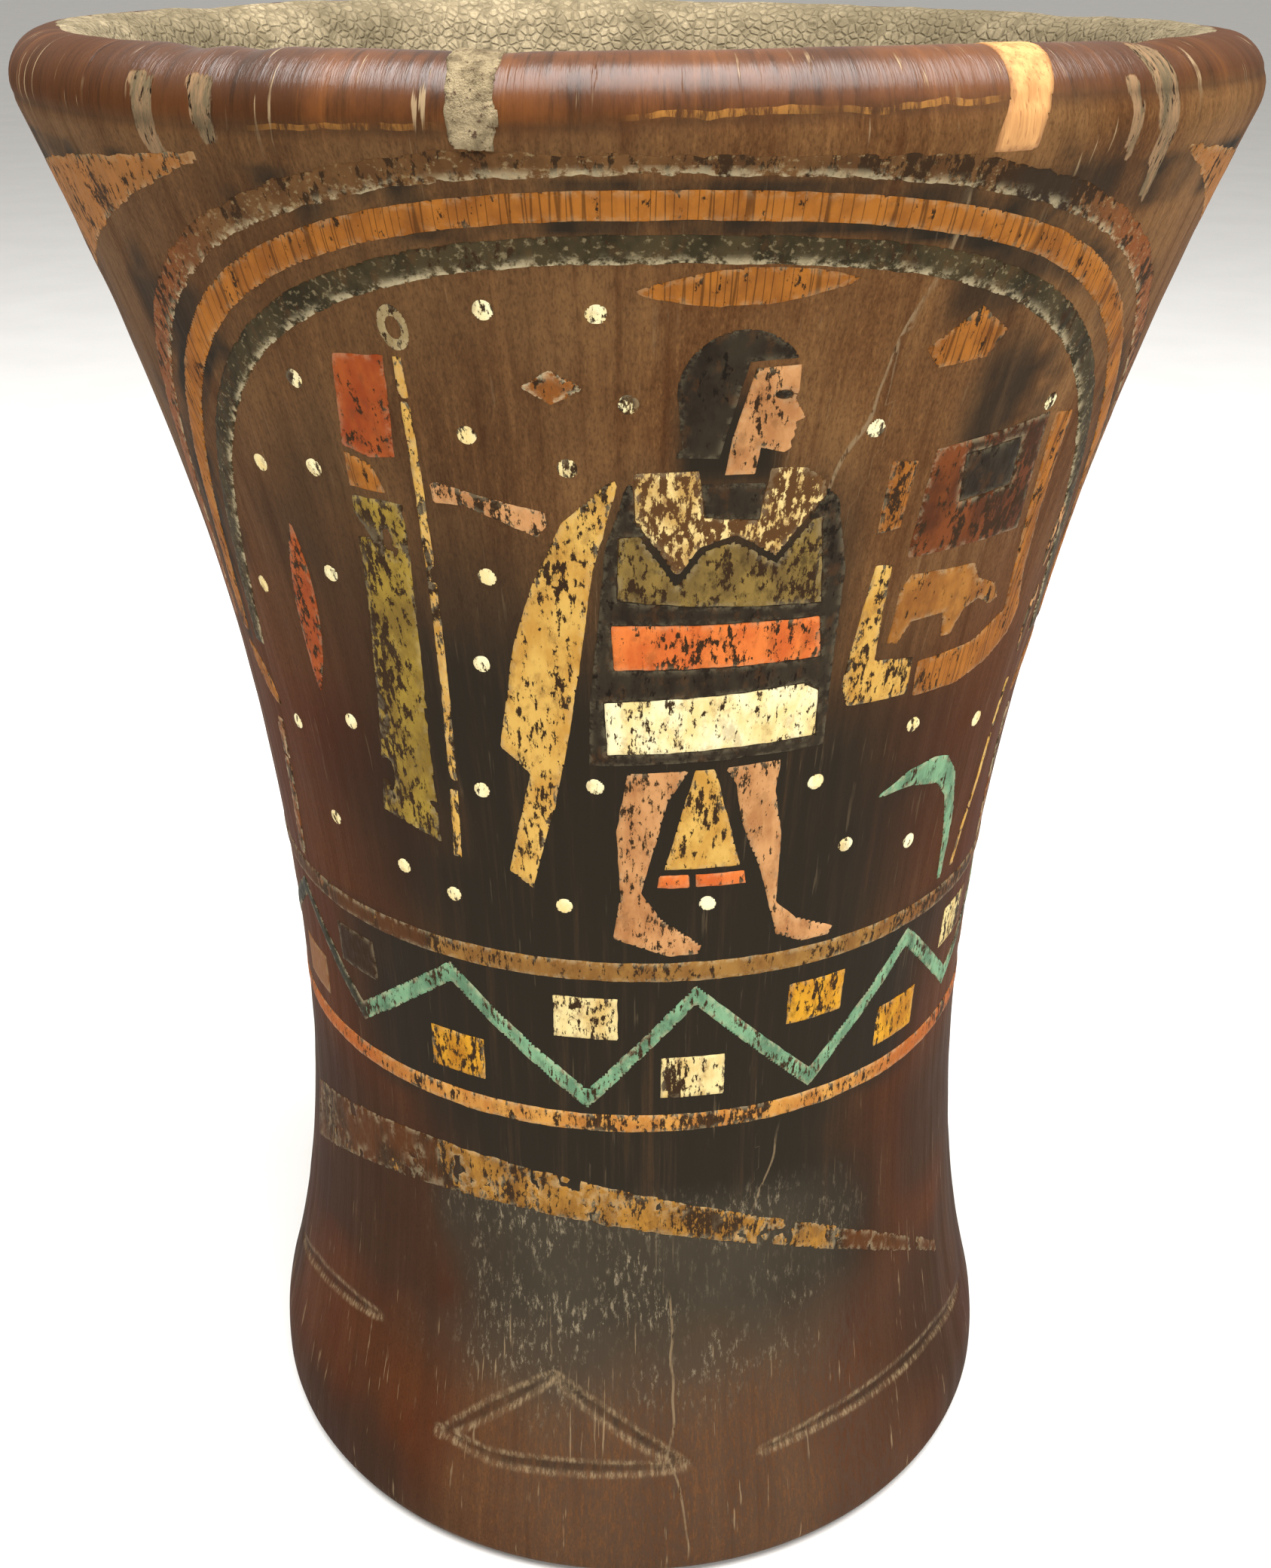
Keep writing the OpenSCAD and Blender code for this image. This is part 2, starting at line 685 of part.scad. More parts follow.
// Leaves, petals and dots, each at an azimuth and a height over the ground line
red_leaf_place = [-41, 42];
red_leaf_tilt = 81;
lozenge_place = [-7, 72.5];
orange_leaf_az = 30;
orange_leaf_points = [[-5.8, 75.6], [-0.4, 79.4], [3.9, 76.6], [2.1, 74], [-3.6, 73.4]];
petal_places = [[59, 48], [60, 36]];
dot_fn = 24;
dot_places = [
    [-41, 60], [-33, 61], [-35, 48], [-49.5, 43], [-51, 24], [-38, 28], [-46, 12], [-33, 9],
    [-25, 7], [-15, 51], [-17, 40], [-19, 23], [-6, 64], [-15, 67], [-12, 80], [-32, 71],
    [-3, 80], [-0.5, 71], [-4.5, 25], [23, 24], [-9, 8], [10, 8.5], [29, 14], [22, 67.5],
    [44, 67], [37, 28.5], [51.5, 25], [41, 11]];

module leaf_inlay(place, l, w, tilt, cut)
    panel_inlay(place.x, leaf([0, place.y], l, w, tilt), cut);

module red_leaf(cut = false)
    color(red)
        leaf_inlay(red_leaf_place, red_leaf_l, red_leaf_w, red_leaf_tilt, cut);

module feather_lozenge(cut = false) {
    middle = lozenge_place.y;
    color(orange)
        panel_inlay(
            lozenge_place.x,
            [
                [-lozenge_w / 2, middle],
                [0, middle + lozenge_h / 2],
                [lozenge_w / 2, middle],
                [0, middle - lozenge_h / 2]],
            cut);
}

module orange_leaf(cut = false)
    color(orange)
        panel_inlay(orange_leaf_az, figure(orange_leaf_points), cut);

module side_petals(cut = false)
    color(flesh)
        for (place = petal_places)
            leaf_inlay(place, petal_l, petal_w, 90, cut);

module dots(cut = false)
    color(cream)
        panels()
            for (place = dot_places)
                let (
                    middle = ground_z + place.y * upward,
                    d = dot_d * min(across, upward))
                inlay(panel_az(place.x), middle - d, middle + d, cut)
                    translate([0, middle])
                        circle(d = d + 2 * $grow, $fn = dot_fn);

// Bands and zigzag that run all round the cup
module ground_line(cut = false) color(ochre) ring_inlay(ground_z - ground_w, ground_z, cut);

module lower_band(cut = false) color(orange) ring_inlay(lower_band_z, lower_band_z + lower_band_w, cut);

// Moves of the hand-cut valleys from their even places, across and up, in turn round the cup
valley_moves = [[-1.6, 3], [2.1, 0], [0.5, 0]];
function valley_move(i) = valley_moves[((i + 1) % zigzag_count) % len(valley_moves)];

// Zigzag of one chevron for each peak, that runs into the next at the valleys
module zigzag(cut = false) {
    step = 180 / zigzag_count;
    half = zigzag_w / 2;
    peak = zigzag_top - half;
    valley = zigzag_bottom + half;
    side = wall_r(valley) * sin(step) + lap;
    color(turquoise)
        for (i = [0:zigzag_count - 1])
            let (
                left = [-side, valley] + valley_move(i),
                right = [side, valley] + valley_move(i + 1),
                up = [0, half])
            plain_inlay(
                zigzag_az + 2 * i * step,
                [left - up, [0, peak] - up, right - up, right + up, [0, peak] + up, left + up],
                cut);
}

// Tiles under the peaks and over the valleys; every second one is cream
module tiles(first, cut) {
    step = 180 / zigzag_count;
    lows = [zigzag_bottom + tile_set_in, zigzag_top - tile_set_in - tile_h];
    for (i = [first:2:zigzag_count - 1], side = [0, 1])
        let (
            low = lows[side],
            left = side * valley_move(i).x - tile_w / 2,
            right = left + tile_w)
        plain_inlay(
            zigzag_az + (2 * i - side) * step,
            [[left, low], [right, low], [right, low + tile_h], [left, low + tile_h]],
            cut);
}

module cream_tiles(cut = false) color(cream) tiles(0, cut);

module ochre_tiles(cut = false) color(ochre) tiles(1, cut);

// Stripe that falls away round the foot, in two lengths that run into each other
stripe_lengths = 2;
stripe_steps = 14;
function stripe_edge(az) = stripe_z - stripe_fall * pow(az - stripe_az, 2);
function stripe_part(az) = (az - stripe_left) / (stripe_right - stripe_left);
function stripe_w(az) = stripe_left_w + (stripe_right_w - stripe_left_w) * stripe_part(az);

module foot_stripe(cut = false) {
    span = (stripe_right - stripe_left) / stripe_lengths;
    over = degrees_of(lap, stripe_z);
    color(ochre)
        panels()
            for (i = [0:stripe_lengths - 1])
                let (
                    middle = stripe_left + (i + 0.5) * span,
                    reach = span / 2 + over,
                    azimuths = [for (k = [0:stripe_steps]) middle + reach * (2 * k / stripe_steps - 1)])
                plain_inlay(
                    middle,
                    flat(concat(
                        [for (a = azimuths) [a, stripe_edge(a)]],
                        [for (a = reversed(azimuths)) [a, stripe_edge(a) - stripe_w(a)]]), middle),
                    cut);
}

// Lines cut in the foot, from one azimuth and height to another
foot_cuts = [
    [[-30, 17.5], [-12, 31]],
    [[-10, 31], [8, 19]],
    [[-30, 15], [-11, 12]],
    [[-9, 12], [9, 16.5]],
    [[20, 19], [44, 20]],
    [[46, 20], [70, 18]],
    [[-76, 24], [-61, 27]],
    [[-59, 27], [-46, 29]]];

module foot_cut_lines() {
    half = cut_line_w / 2;
    for (line = foot_cuts)
        let (
            middle = (line[0].x + line[1].x) / 2,
            points = flat(line, middle))
        intersection() {
            prism(middle)
                polygon([
                    points[0] - [0, half],
                    points[1] - [0, half],
                    points[1] + [0, half],
                    points[0] + [0, half]]);
            wall_layer(
                min(heights_of(points)) - cut_over,
                max(heights_of(points)) + cut_over,
                cut_line_t,
                cut_over);
        }
}

// Repairs let into the lip, and the groove under it
module repair(az, cut) {
    $grow = cut ? fit_gap : 0;
    intersection() {
        prism(az)
            grown()
                children();
        rotate_extrude()
            polygon(concat(skin(cut ? -cut_over : 0), reversed(skin(repair_t + $grow))));
    }
}

module wood_repair(cut = false) {
    half = wood_repair_w / 2;
    lean = 1.6;
    waist = 0.8;
    top = height + cut_over;
    low = height - wood_repair_h;
    middle = (height + low) / 2;
    color(pale_wood)
        repair(wood_repair_az, cut)
            polygon([
                [-half + lean, top],
                [half + lean, top],
                [half * waist, middle],
                [half * waist - lean, low],
                [-half * waist - lean, low],
                [-half * waist, middle]]);
}

module filler_repair(cut = false) {
    half = filler_w / 2;
    lean = 0.9;
    top = height + cut_over;
    low = height - filler_h;
    color(filler_grey)
        repair(filler_az, cut)
            polygon(concat(
                [[half - lean, top], [-half - lean, top]],
                arc([0, low + half], half, 180, 360, fillet_steps)));
}

module lip_groove() {
    z = height - lip_groove_drop;
    rotate_extrude()
        translate([lip_x + sqrt(pow(lip_r, 2) - pow(z - lip_z, 2)), z])
            circle(r = lip_groove_r);
}

module inner_coating() {
    color(crust)
        rotate_extrude()
            polygon(concat(inside(fit_gap), reversed(inside(fit_gap + coating_t))));
}

// Wall, foot and floor, with a recess for each piece
module cup_body() {
    color(wood)
        difference() {
            rotate_extrude()
                polygon(concat(
                    [[0, 0]],
                    arc([edge_x, base_edge_r], base_edge_r, -90, edge_phi, fillet_steps),
                    bend(arc([foot_cx, foot_cz], foot_arc_r, edge_phi, foot_phi, foot_steps)),
                    bend(arc([lower_cx, waist_z], lower_arc_r, 180 + foot_phi, 180, lower_steps)),
                    bend(arc([flare_cx, waist_z], flare_arc_r, 180, 180 - lip_phi, flare_steps)),
                    bend(arc([lip_x, lip_z], lip_r, -lip_phi, 180 - lip_phi, lip_steps)),
                    bend(inside(0))));
            arch_ochre_band(true);
            arch_orange_band(true);
            arch_green_band(true);
            arch_leg_leaves(true);
            arch_leg_strips(true);
            spandrels(true);
            plume(true);
            hair(true);
            face(true);
            tunic(true);
            left_leg(true);
            right_leg(true);
            tassel(true);
            tassel_hem(true);
            cape(true);
            arm(true);
            staff(true);
            staff_ring(true);
            banner_red(true);
            banner_orange(true);
            banner_olive(true);
            shield_bar(true);
            shield_corner(true);
            shield_tab(true);
            shield_frame(true);
            animal(true);
            sickle(true);
            stalk(true);
            red_leaf(true);
            feather_lozenge(true);
            orange_leaf(true);
            side_petals(true);
            dots(true);
            ground_line(true);
            zigzag(true);
            cream_tiles(true);
            ochre_tiles(true);
            lower_band(true);
            foot_stripe(true);
            wood_repair(true);
            filler_repair(true);
            foot_cut_lines();
            lip_groove();
        }
}

cup_body();
inner_coating();
wood_repair();
filler_repair();
arch_ochre_band();
arch_orange_band();
arch_green_band();
arch_leg_leaves();
arch_leg_strips();
spandrels();
plume();
hair();
face();
eye();
collar();
tunic();
tunic_olive_band();
tunic_red_band();
tunic_cream_band();
left_leg();
right_leg();
tassel();
tassel_hem();
cape();
arm();
staff();
staff_ring();
banner_red();
banner_orange();
banner_olive();
shield_bar();
shield_corner();
shield_tab();
shield_frame();
shield_square();
animal();
sickle();
stalk();
red_leaf();
feather_lozenge();
orange_leaf();
side_petals();
dots();
ground_line();
zigzag();
cream_tiles();
ochre_tiles();
lower_band();
foot_stripe();
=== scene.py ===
import json
import math

import bpy
import numpy as np
from mathutils import Euler, Matrix, Vector


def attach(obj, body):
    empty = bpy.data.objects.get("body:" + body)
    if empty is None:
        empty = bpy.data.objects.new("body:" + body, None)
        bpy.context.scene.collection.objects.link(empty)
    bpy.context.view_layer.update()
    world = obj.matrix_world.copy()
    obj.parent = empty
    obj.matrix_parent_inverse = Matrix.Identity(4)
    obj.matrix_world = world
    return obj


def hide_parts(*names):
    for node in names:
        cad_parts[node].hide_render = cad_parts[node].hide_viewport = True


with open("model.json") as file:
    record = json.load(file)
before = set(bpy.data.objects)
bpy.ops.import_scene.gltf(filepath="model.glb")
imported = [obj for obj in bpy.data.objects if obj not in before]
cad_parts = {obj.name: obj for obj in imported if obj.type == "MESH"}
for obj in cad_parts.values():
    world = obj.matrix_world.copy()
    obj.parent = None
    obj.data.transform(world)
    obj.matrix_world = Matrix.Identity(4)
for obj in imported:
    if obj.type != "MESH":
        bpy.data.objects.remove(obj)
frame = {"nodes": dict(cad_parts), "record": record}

join = np.concatenate
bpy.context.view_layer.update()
scene = bpy.context.scene
print("frame loaded:", len(frame["nodes"]), "nodes")

# the turned form of the cup, in millimetres
cup = dict(
    height=200.0, footR=57.0, waistR=49.0, waistZ=68.0, flareArcR=340.0, lowerArcR=230.0,
    footArcR=40.0, baseEdgeR=2.5, wallT=11.0, floorT=24.0, filletR=14.0, coatingT=0.8, fitGap=0.1)


# points of an arc: centre plus radius times (cos, sin) of evenly spaced angles
def arcPoints(cx, cz, r, a, b, step):
    angles = np.linspace(a, b, max(2, int(abs(b - a) * r / step) + 1))
    return np.stack([cx + r * np.cos(angles), cz + r * np.sin(angles)], 1)


lipR = cup["wallT"] / 2
flareX = cup["waistR"] + cup["flareArcR"]
lipZ = cup["height"] - lipR
lipPhi = math.asin((lipZ - cup["waistZ"]) / (cup["flareArcR"] + lipR))
lipX = flareX - (cup["flareArcR"] + lipR) * math.cos(lipPhi)
lowerX = cup["waistR"] + cup["lowerArcR"]
footX = cup["footR"] - cup["footArcR"]
footRise = math.sqrt((cup["lowerArcR"] + cup["footArcR"]) ** 2 - (lowerX - footX) ** 2)
footZ = cup["waistZ"] - footRise
footPhi = math.atan2(footRise, lowerX - footX)
edgePhi = math.asin((cup["baseEdgeR"] - footZ) / (cup["footArcR"] - cup["baseEdgeR"]))
edgeX = footX + (cup["footArcR"] - cup["baseEdgeR"]) * math.cos(edgePhi)
innerR = cup["waistR"] - cup["wallT"]
filletX = innerR - cup["filletR"]
filletZ = cup["floorT"] + cup["filletR"]

# outer skin from the base round the foot, up the wall and over the lip, as a fine line
skinLine = join([
    arcPoints(edgeX, cup["baseEdgeR"], cup["baseEdgeR"], -math.pi / 2, edgePhi, 0.2),
    arcPoints(footX, footZ, cup["footArcR"], edgePhi, footPhi, 0.3)[1:],
    arcPoints(lowerX, cup["waistZ"], cup["lowerArcR"], math.pi + footPhi, math.pi, 0.3)[1:],
    arcPoints(flareX, cup["waistZ"], cup["flareArcR"], math.pi, math.pi - lipPhi, 0.3)[1:],
    arcPoints(lipX, lipZ, lipR, -lipPhi, math.pi - lipPhi, 0.1)[1:]])
skinS = join([[0], np.cumsum(np.hypot(*np.diff(skinLine, axis=0).T))])
skinEnd = skinS[-1]
skinSlope = np.gradient(skinLine, skinS, axis=0)
lipStart = skinEnd - math.pi * lipR


# inside of the wall from the lip down to the waist, and the fillet round the floor
def innerWall(step):
    r = cup["flareArcR"] + cup["wallT"]
    return arcPoints(flareX, cup["waistZ"], r, math.pi - lipPhi, math.pi, step)


def innerFillet(step):
    return arcPoints(filletX, filletZ, cup["filletR"], 0, -math.pi / 2, step)


# length along the skin at a height of the wall below the lip
def skinAt(z):
    rising = skinS <= lipStart
    return np.interp(z, skinLine[rising, 1], skinS[rising])


# radius and height of the skin at a length along it
def skinRadius(s):
    return np.interp(s, skinS, skinLine[:, 0])


def skinHeight(s):
    return np.interp(s, skinS, skinLine[:, 1])


# way in degrees from one azimuth to another, from -180 to 180
def azGap(az, place):
    return (az - place + 180) % 360 - 180


# way in mm round the skin from one azimuth to another
def wayRound(az, place, s):
    return azGap(az, place) * skinRadius(s) * math.pi / 180


# points of radii and heights turned to angles round the axis, with the front at -Y
def ringPoints(r, z, a):
    return np.stack(np.broadcast_arrays(r * np.sin(a), -r * np.cos(a), z), -1)


# repeatable value from 0 to 1 for each corner of a cubic lattice
def cornerValue(i, j, k, seed):
    h = np.sin(i * 127.1 + j * 311.7 + k * 74.7 + seed * 53.3) * 43758.5453
    return h - np.floor(h)


# soft noise from 0 to 1: eased blend of the eight corner values round each point
def softNoise(points, size, seed):
    p = points / size
    base = np.floor(p)
    f = p - base
    f = f * f * (3 - 2 * f)
    i, j, k = base[..., 0], base[..., 1], base[..., 2]
    total = 0.0
    for di, dj, dk in np.ndindex(2, 2, 2):
        weight = ((f[..., 0] if di else 1 - f[..., 0])
                  * (f[..., 1] if dj else 1 - f[..., 1])
                  * (f[..., 2] if dk else 1 - f[..., 2]))
        total = total + weight * cornerValue(i + di, j + dj, k + dk, seed)
    return total


# three sizes of soft noise added at falling strength, from 0 to 1
def roughNoise(points, size, seed):
    return (softNoise(points, size, seed) * 4 + softNoise(points, size / 2.1, seed + 1) * 2
            + softNoise(points, size / 4.3, seed + 2)) / 7


def eased(low, high, value):
    t = np.clip((value - low) / (high - low), 0, 1)
    return t * t * (3 - 2 * t)


# 1 between two limits and 0 outside them, eased over a soft edge
def between(value, low, high, soft):
    return eased(low - soft, low + soft, value) * eased(high + soft, high - soft, value)


# square of the distance from a segment, by the way from its start and its run
def segmentSquare(px, py, dx, dy):
    t = np.clip((px * dx + py * dy) / np.maximum(dx * dx + dy * dy, 1e-12), 0, 1)
    return (px - t * dx) ** 2 + (py - t * dy) ** 2


# distance in mm from skin points to a line of azimuths and heights
def lineDistance(az, s, line):
    corners = [(a, float(skinAt(z))) for a, z in line]
    best = np.full(np.broadcast(az, s).shape, 1e3)
    for (a0, s0), (a1, s1) in zip(corners[:-1], corners[1:]):
        radius = skinRadius((s0 + s1) / 2) * math.pi / 180
        px = azGap(az, a0) * radius
        py = s - s0
        dx, dy = (a1 - a0) * radius, s1 - s0
        best = np.minimum(best, np.sqrt(segmentSquare(px, py, dx, dy)))
    return best


wear = dict(
    oval=0.35, ovalAz=30.0, sway=0.22, swaySize=26.0, toolMark=0.06, toolSize=5.5,
    lipGroove=0.14, lipGrooveW=0.6, cutDepth=0.36, cutW=0.9, lipRough=0.16, lipRoughSize=7.0,
    edgeRise=2.2, edgeSway=1.6, edgeTurn=2.4,
    cuts=[
        [(-30, 17.5), (-21, 25), (-11.5, 32)],
        [(-11.5, 32), (-2, 25.5), (8.5, 18.5)],
        [(-30, 18.4), (-21, 17.2), (-10, 18), (0, 18.4), (8.5, 18.5)],
        [(20, 18.5), (32, 20), (44, 20.4), (57, 20), (72, 17.5)],
        [(-78, 22), (-66, 26), (-54, 28.6), (-44, 30)]],
    cracks=[
        [(6, 47), (7, 33), (6.2, 20), (8.6, 2)],
        [(24, 71), (22.5, 66), (21, 62), (19, 57)],
        [(25, 190), (23.5, 178), (21.5, 168), (19, 158), (16.5, 150)]],
    lipDents=[(-37, 3.0, 0.45), (-30.5, 2.4, 0.4), (-10.5, 3.0, 0.3), (46, 4.0, 0.4), (118, 7.0, 0.4),
              (-120, 5.0, 0.4), (170, 8.0, 0.3)])


# height of the wood over the turned form: a slight oval, slow sway, tool marks, cut lines, a groove
# under the lip and a worn lip
def woodHeight(az, s):
    z = skinHeight(s)
    points = ringPoints(skinRadius(s), z, np.radians(az))
    h = wear["oval"] * np.cos(2 * np.radians(az - wear["ovalAz"])) * eased(6, 40, z)
    h = h + wear["sway"] * 2 * (softNoise(points, wear["swaySize"], 3) - 0.5) * eased(2, 12, s)
    h = h + wear["toolMark"] * 2 * (softNoise(points, wear["toolSize"], 9) - 0.5) * eased(2, 12, s)
    for line in wear["cuts"]:
        h = h - wear["cutDepth"] * np.exp(-(lineDistance(az, s, line) / wear["cutW"]) ** 2)
    h = h - wear["lipGroove"] * np.exp(-((s - lipEdge(az)) / wear["lipGrooveW"]) ** 2)
    overLip = eased(lipStart - 1, lipStart + 3, s) * (1 - eased(skinEnd - 7, skinEnd - 1, s))
    for place, width, depth in wear["lipDents"]:
        h = h - depth * overLip * np.exp(-(wayRound(az, place, s) / width) ** 2)
    return h - wear["lipRough"] * overLip * roughNoise(points, wear["lipRoughSize"], 21)


# lower edge of the lip's polish, as a length along the skin: higher on the right than on the left
def lipEdge(az):
    side = np.tanh(wear["edgeTurn"] * np.sin(np.radians(az)))
    return lipStart + wear["edgeRise"] + wear["edgeSway"] * side


# point on the worn skin at an azimuth and a length along it, lifted by h
def skinPoint(az, s, h):
    dr = np.interp(s, skinS, skinSlope[:, 0])
    dz = np.interp(s, skinS, skinSlope[:, 1])
    return ringPoints(skinRadius(s) + dz * h, skinHeight(s) - dr * h, np.radians(az))


# quads of a grid of rows and columns whose last column joins the first
def ringQuads(rows, columns):
    i = np.arange(rows - 1)[:, None] * columns
    j = np.arange(columns)[None, :]
    k = (j + 1) % columns
    return np.stack([i + j, i + k, i + columns + k, i + columns + j], -1).reshape(-1, 4)


# rows of rings joined up, each end closed by a point on the axis at its height
def closedRings(grid, startZ, endZ):
    rows, n = grid.shape[:2]
    points = join([grid.reshape(-1, 3), [[0, 0, startZ], [0, 0, endZ]]])
    j = np.arange(n)
    k = (j + 1) % n
    last = (rows - 1) * n
    faces = ringQuads(rows, n).tolist()
    faces += np.stack([k, j, np.full(n, rows * n)], 1).tolist()
    faces += np.stack([last + j, last + k, np.full(n, rows * n + 1)], 1).tolist()
    return points, faces


# piece in metres from points in millimetres, with its faces, finish and per-point values
def addPiece(name, points, faces, material, node, values=None):
    mesh = bpy.data.meshes.new(name)
    mesh.from_pydata((points * 0.001).tolist(), [], faces)
    mesh.polygons.foreach_set("use_smooth", np.ones(len(mesh.polygons), bool))
    for key, value in (values or {}).items():
        layer = mesh.attributes.new(key, "FLOAT", "POINT")
        layer.data.foreach_set("value", np.ascontiguousarray(value, np.float32))
    mesh.materials.append(material)
    mesh.update()
    piece = bpy.data.objects.new(name, mesh)
    scene.collection.objects.link(piece)
    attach(piece, "root")
    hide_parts(node)
    return piece


# colour from 0 to 255 steps of screen colour to the linear light that shaders take
def tint(r, g, b):
    c = np.array([r, g, b]) / 255
    lin = np.where(c <= 0.04045, c / 12.92, ((c + 0.055) / 1.055) ** 2.4)
    return (*lin.tolist(), 1.0)


# the colours of a dictionary made ready for shaders, its other values as they are
def tints(look):
    return {key: tint(*value) if isinstance(value, tuple) else value for key, value in look.items()}


# the finish in hand: its node tree and its shader
bench = dict(tree=None, bsdf=None)


def addNode(kind, settings=None, inputs=None):
    node = bench["tree"].nodes.new("ShaderNode" + kind)
    for key, value in (settings or {}).items():
        setattr(node, key, value)
    for key, value in (inputs or {}).items():
        if isinstance(value, bpy.types.NodeSocket):
            bench["tree"].links.new(value, node.inputs[key])
        else:
            node.inputs[key].default_value = value
    return node


def newFinish(name, **shader):
    material = bpy.data.materials.new(name)
    material.use_nodes = True
    bench["tree"] = material.node_tree
    bench["bsdf"] = material.node_tree.nodes["Principled BSDF"]
    for key, value in shader.items():
        bench["bsdf"].inputs[key].default_value = value
    return material


def feed(socket, value):
    bench["tree"].links.new(value, bench["bsdf"].inputs[socket])


meanRadius = 0.058    # of the skin, in metres


def vectorMath(how, inputs):
    return addNode("VectorMath", {"operation": how}, inputs).outputs[0]


# place on the skin in metres: way round the axis at a mean radius, then length along the skin
def skinPlace():
    place = addNode("TexCoord").outputs["Object"]
    around = vectorMath("NORMALIZE", {0: vectorMath("MULTIPLY", {0: place, 1: (1.0, 1.0, 0.0)})})
    wide = vectorMath("SCALE", {0: around, "Scale": meanRadius})
    up = addNode("CombineXYZ", None, {"Z": pointValue("along")}).outputs[0]
    return vectorMath("ADD", {0: wide, 1: up})


# place times a count of cells per metre, round or along the skin
def scaled(place, across, along, shift=0.0):
    if place is None:
        place = addNode("TexCoord").outputs["Object"]
    return addNode("Mapping", None, {
        "Vector": place, "Location": (shift, shift * 0.7, shift * 0.3),
        "Scale": (across, across, along)}).outputs["Vector"]


# noise with a count of its cells per metre, on a given place or else on Object coordinates
def grain(across, along, detail=3.0, roughness=0.6, shift=0.0, place=None):
    noise = addNode("TexNoise", None, {
        "Vector": scaled(place, across, along, shift), "Scale": 1.0, "Detail": detail,
        "Roughness": roughness})
    return noise.outputs["Fac"]


# lines between upright cells, 1 on a line
def cellLines(place, across, along, low, high):
    cells = addNode("TexVoronoi", {"feature": "DISTANCE_TO_EDGE"}, {
        "Vector": scaled(place, across, along), "Scale": 1.0})
    return ranged(cells.outputs["Distance"], high, low)


def ranged(value, low, high, toLow=0.0, toHigh=1.0):
    return addNode("MapRange", {"interpolation_type": "SMOOTHSTEP"}, {
        "Value": value, "From Min": low, "From Max": high, "To Min": toLow,
        "To Max": toHigh}).outputs["Result"]


def combine(how, a, b):
    settings = {"operation": how, "use_clamp": how != "SUBTRACT"}
    return addNode("Math", settings, {0: a, 1: b}).outputs[0]


def times(a, b):
    return combine("MULTIPLY", a, b)


def plus(a, b):
    return combine("ADD", a, b)


def blend(factor, a, b):
    return addNode("Mix", {"data_type": "RGBA"}, {0: factor, 6: a, 7: b}).outputs[2]


# a tone laid over a colour where a value runs from low to high, at a share of its strength
def overlay(c, tone, value, low, high, share):
    return blend(times(ranged(value, low, high), share), c, tone)


def pointValue(name):
    return addNode("Attribute", {"attribute_name": name}).outputs["Fac"]


def addBump(height, strength, distance, socket="Normal"):
    bump = addNode("Bump", None, {
        "Height": height, "Strength": strength, "Distance": distance})
    feed(socket, bump.outputs["Normal"])


woodFinish = dict(
    brown=(111, 80, 49), light=(132, 94, 56), dark=(84, 55, 31), red=(68, 32, 14), sootAndShade=(37, 32, 25),
    ash=(122, 110, 89), charcoal=(56, 50, 40), lip=(98, 57, 28), lipDark=(64, 37, 20),
    lipGold=(128, 76, 32), dust=(66, 53, 42), scratch=(150, 128, 96), rub=(132, 112, 84),
    ochre=(168, 116, 54), bare=(132, 104, 76), crumb=(92, 80, 60), crackDark=(26, 18, 12),
    lineDrop=-0.0012, lineHalf=0.00028, lineSway=0.003)
# noises: cells per metre round and along, detail, roughness, shift, and whether they follow the skin
woodGrain = dict(
    streak=(520, 22, 6.0, 0.68, 0.0, True), fine=(2400, 520, 3.0, 0.7, 4.0, True),
    pore=(5200, 2000, 2.0, 0.6, 13.0, True), patch=(60, 30, 5.0, 0.6, 9.0, False),
    ashFleck=(1300, 420, 6.0, 0.8, 15.0, True), ashArea=(130, 110, 3.0, 0.6, 17.0, False),
    lipPatch=(90, 60, 5.0, 0.65, 23.0, False), wrinkle=(1100, 70, 5.0, 0.7, 25.0, True),
    sway=(90, 90, 3.0, 0.6, 27.0, False), scratch=(1700, 90, 3.0, 0.55, 31.0, True),
    scratchArea=(120, 90, 3.0, 0.6, 37.0, False), rub=(1500, 420, 6.0, 0.8, 43.0, True),
    flake=(800, 130, 5.0, 0.75, 51.0, True))


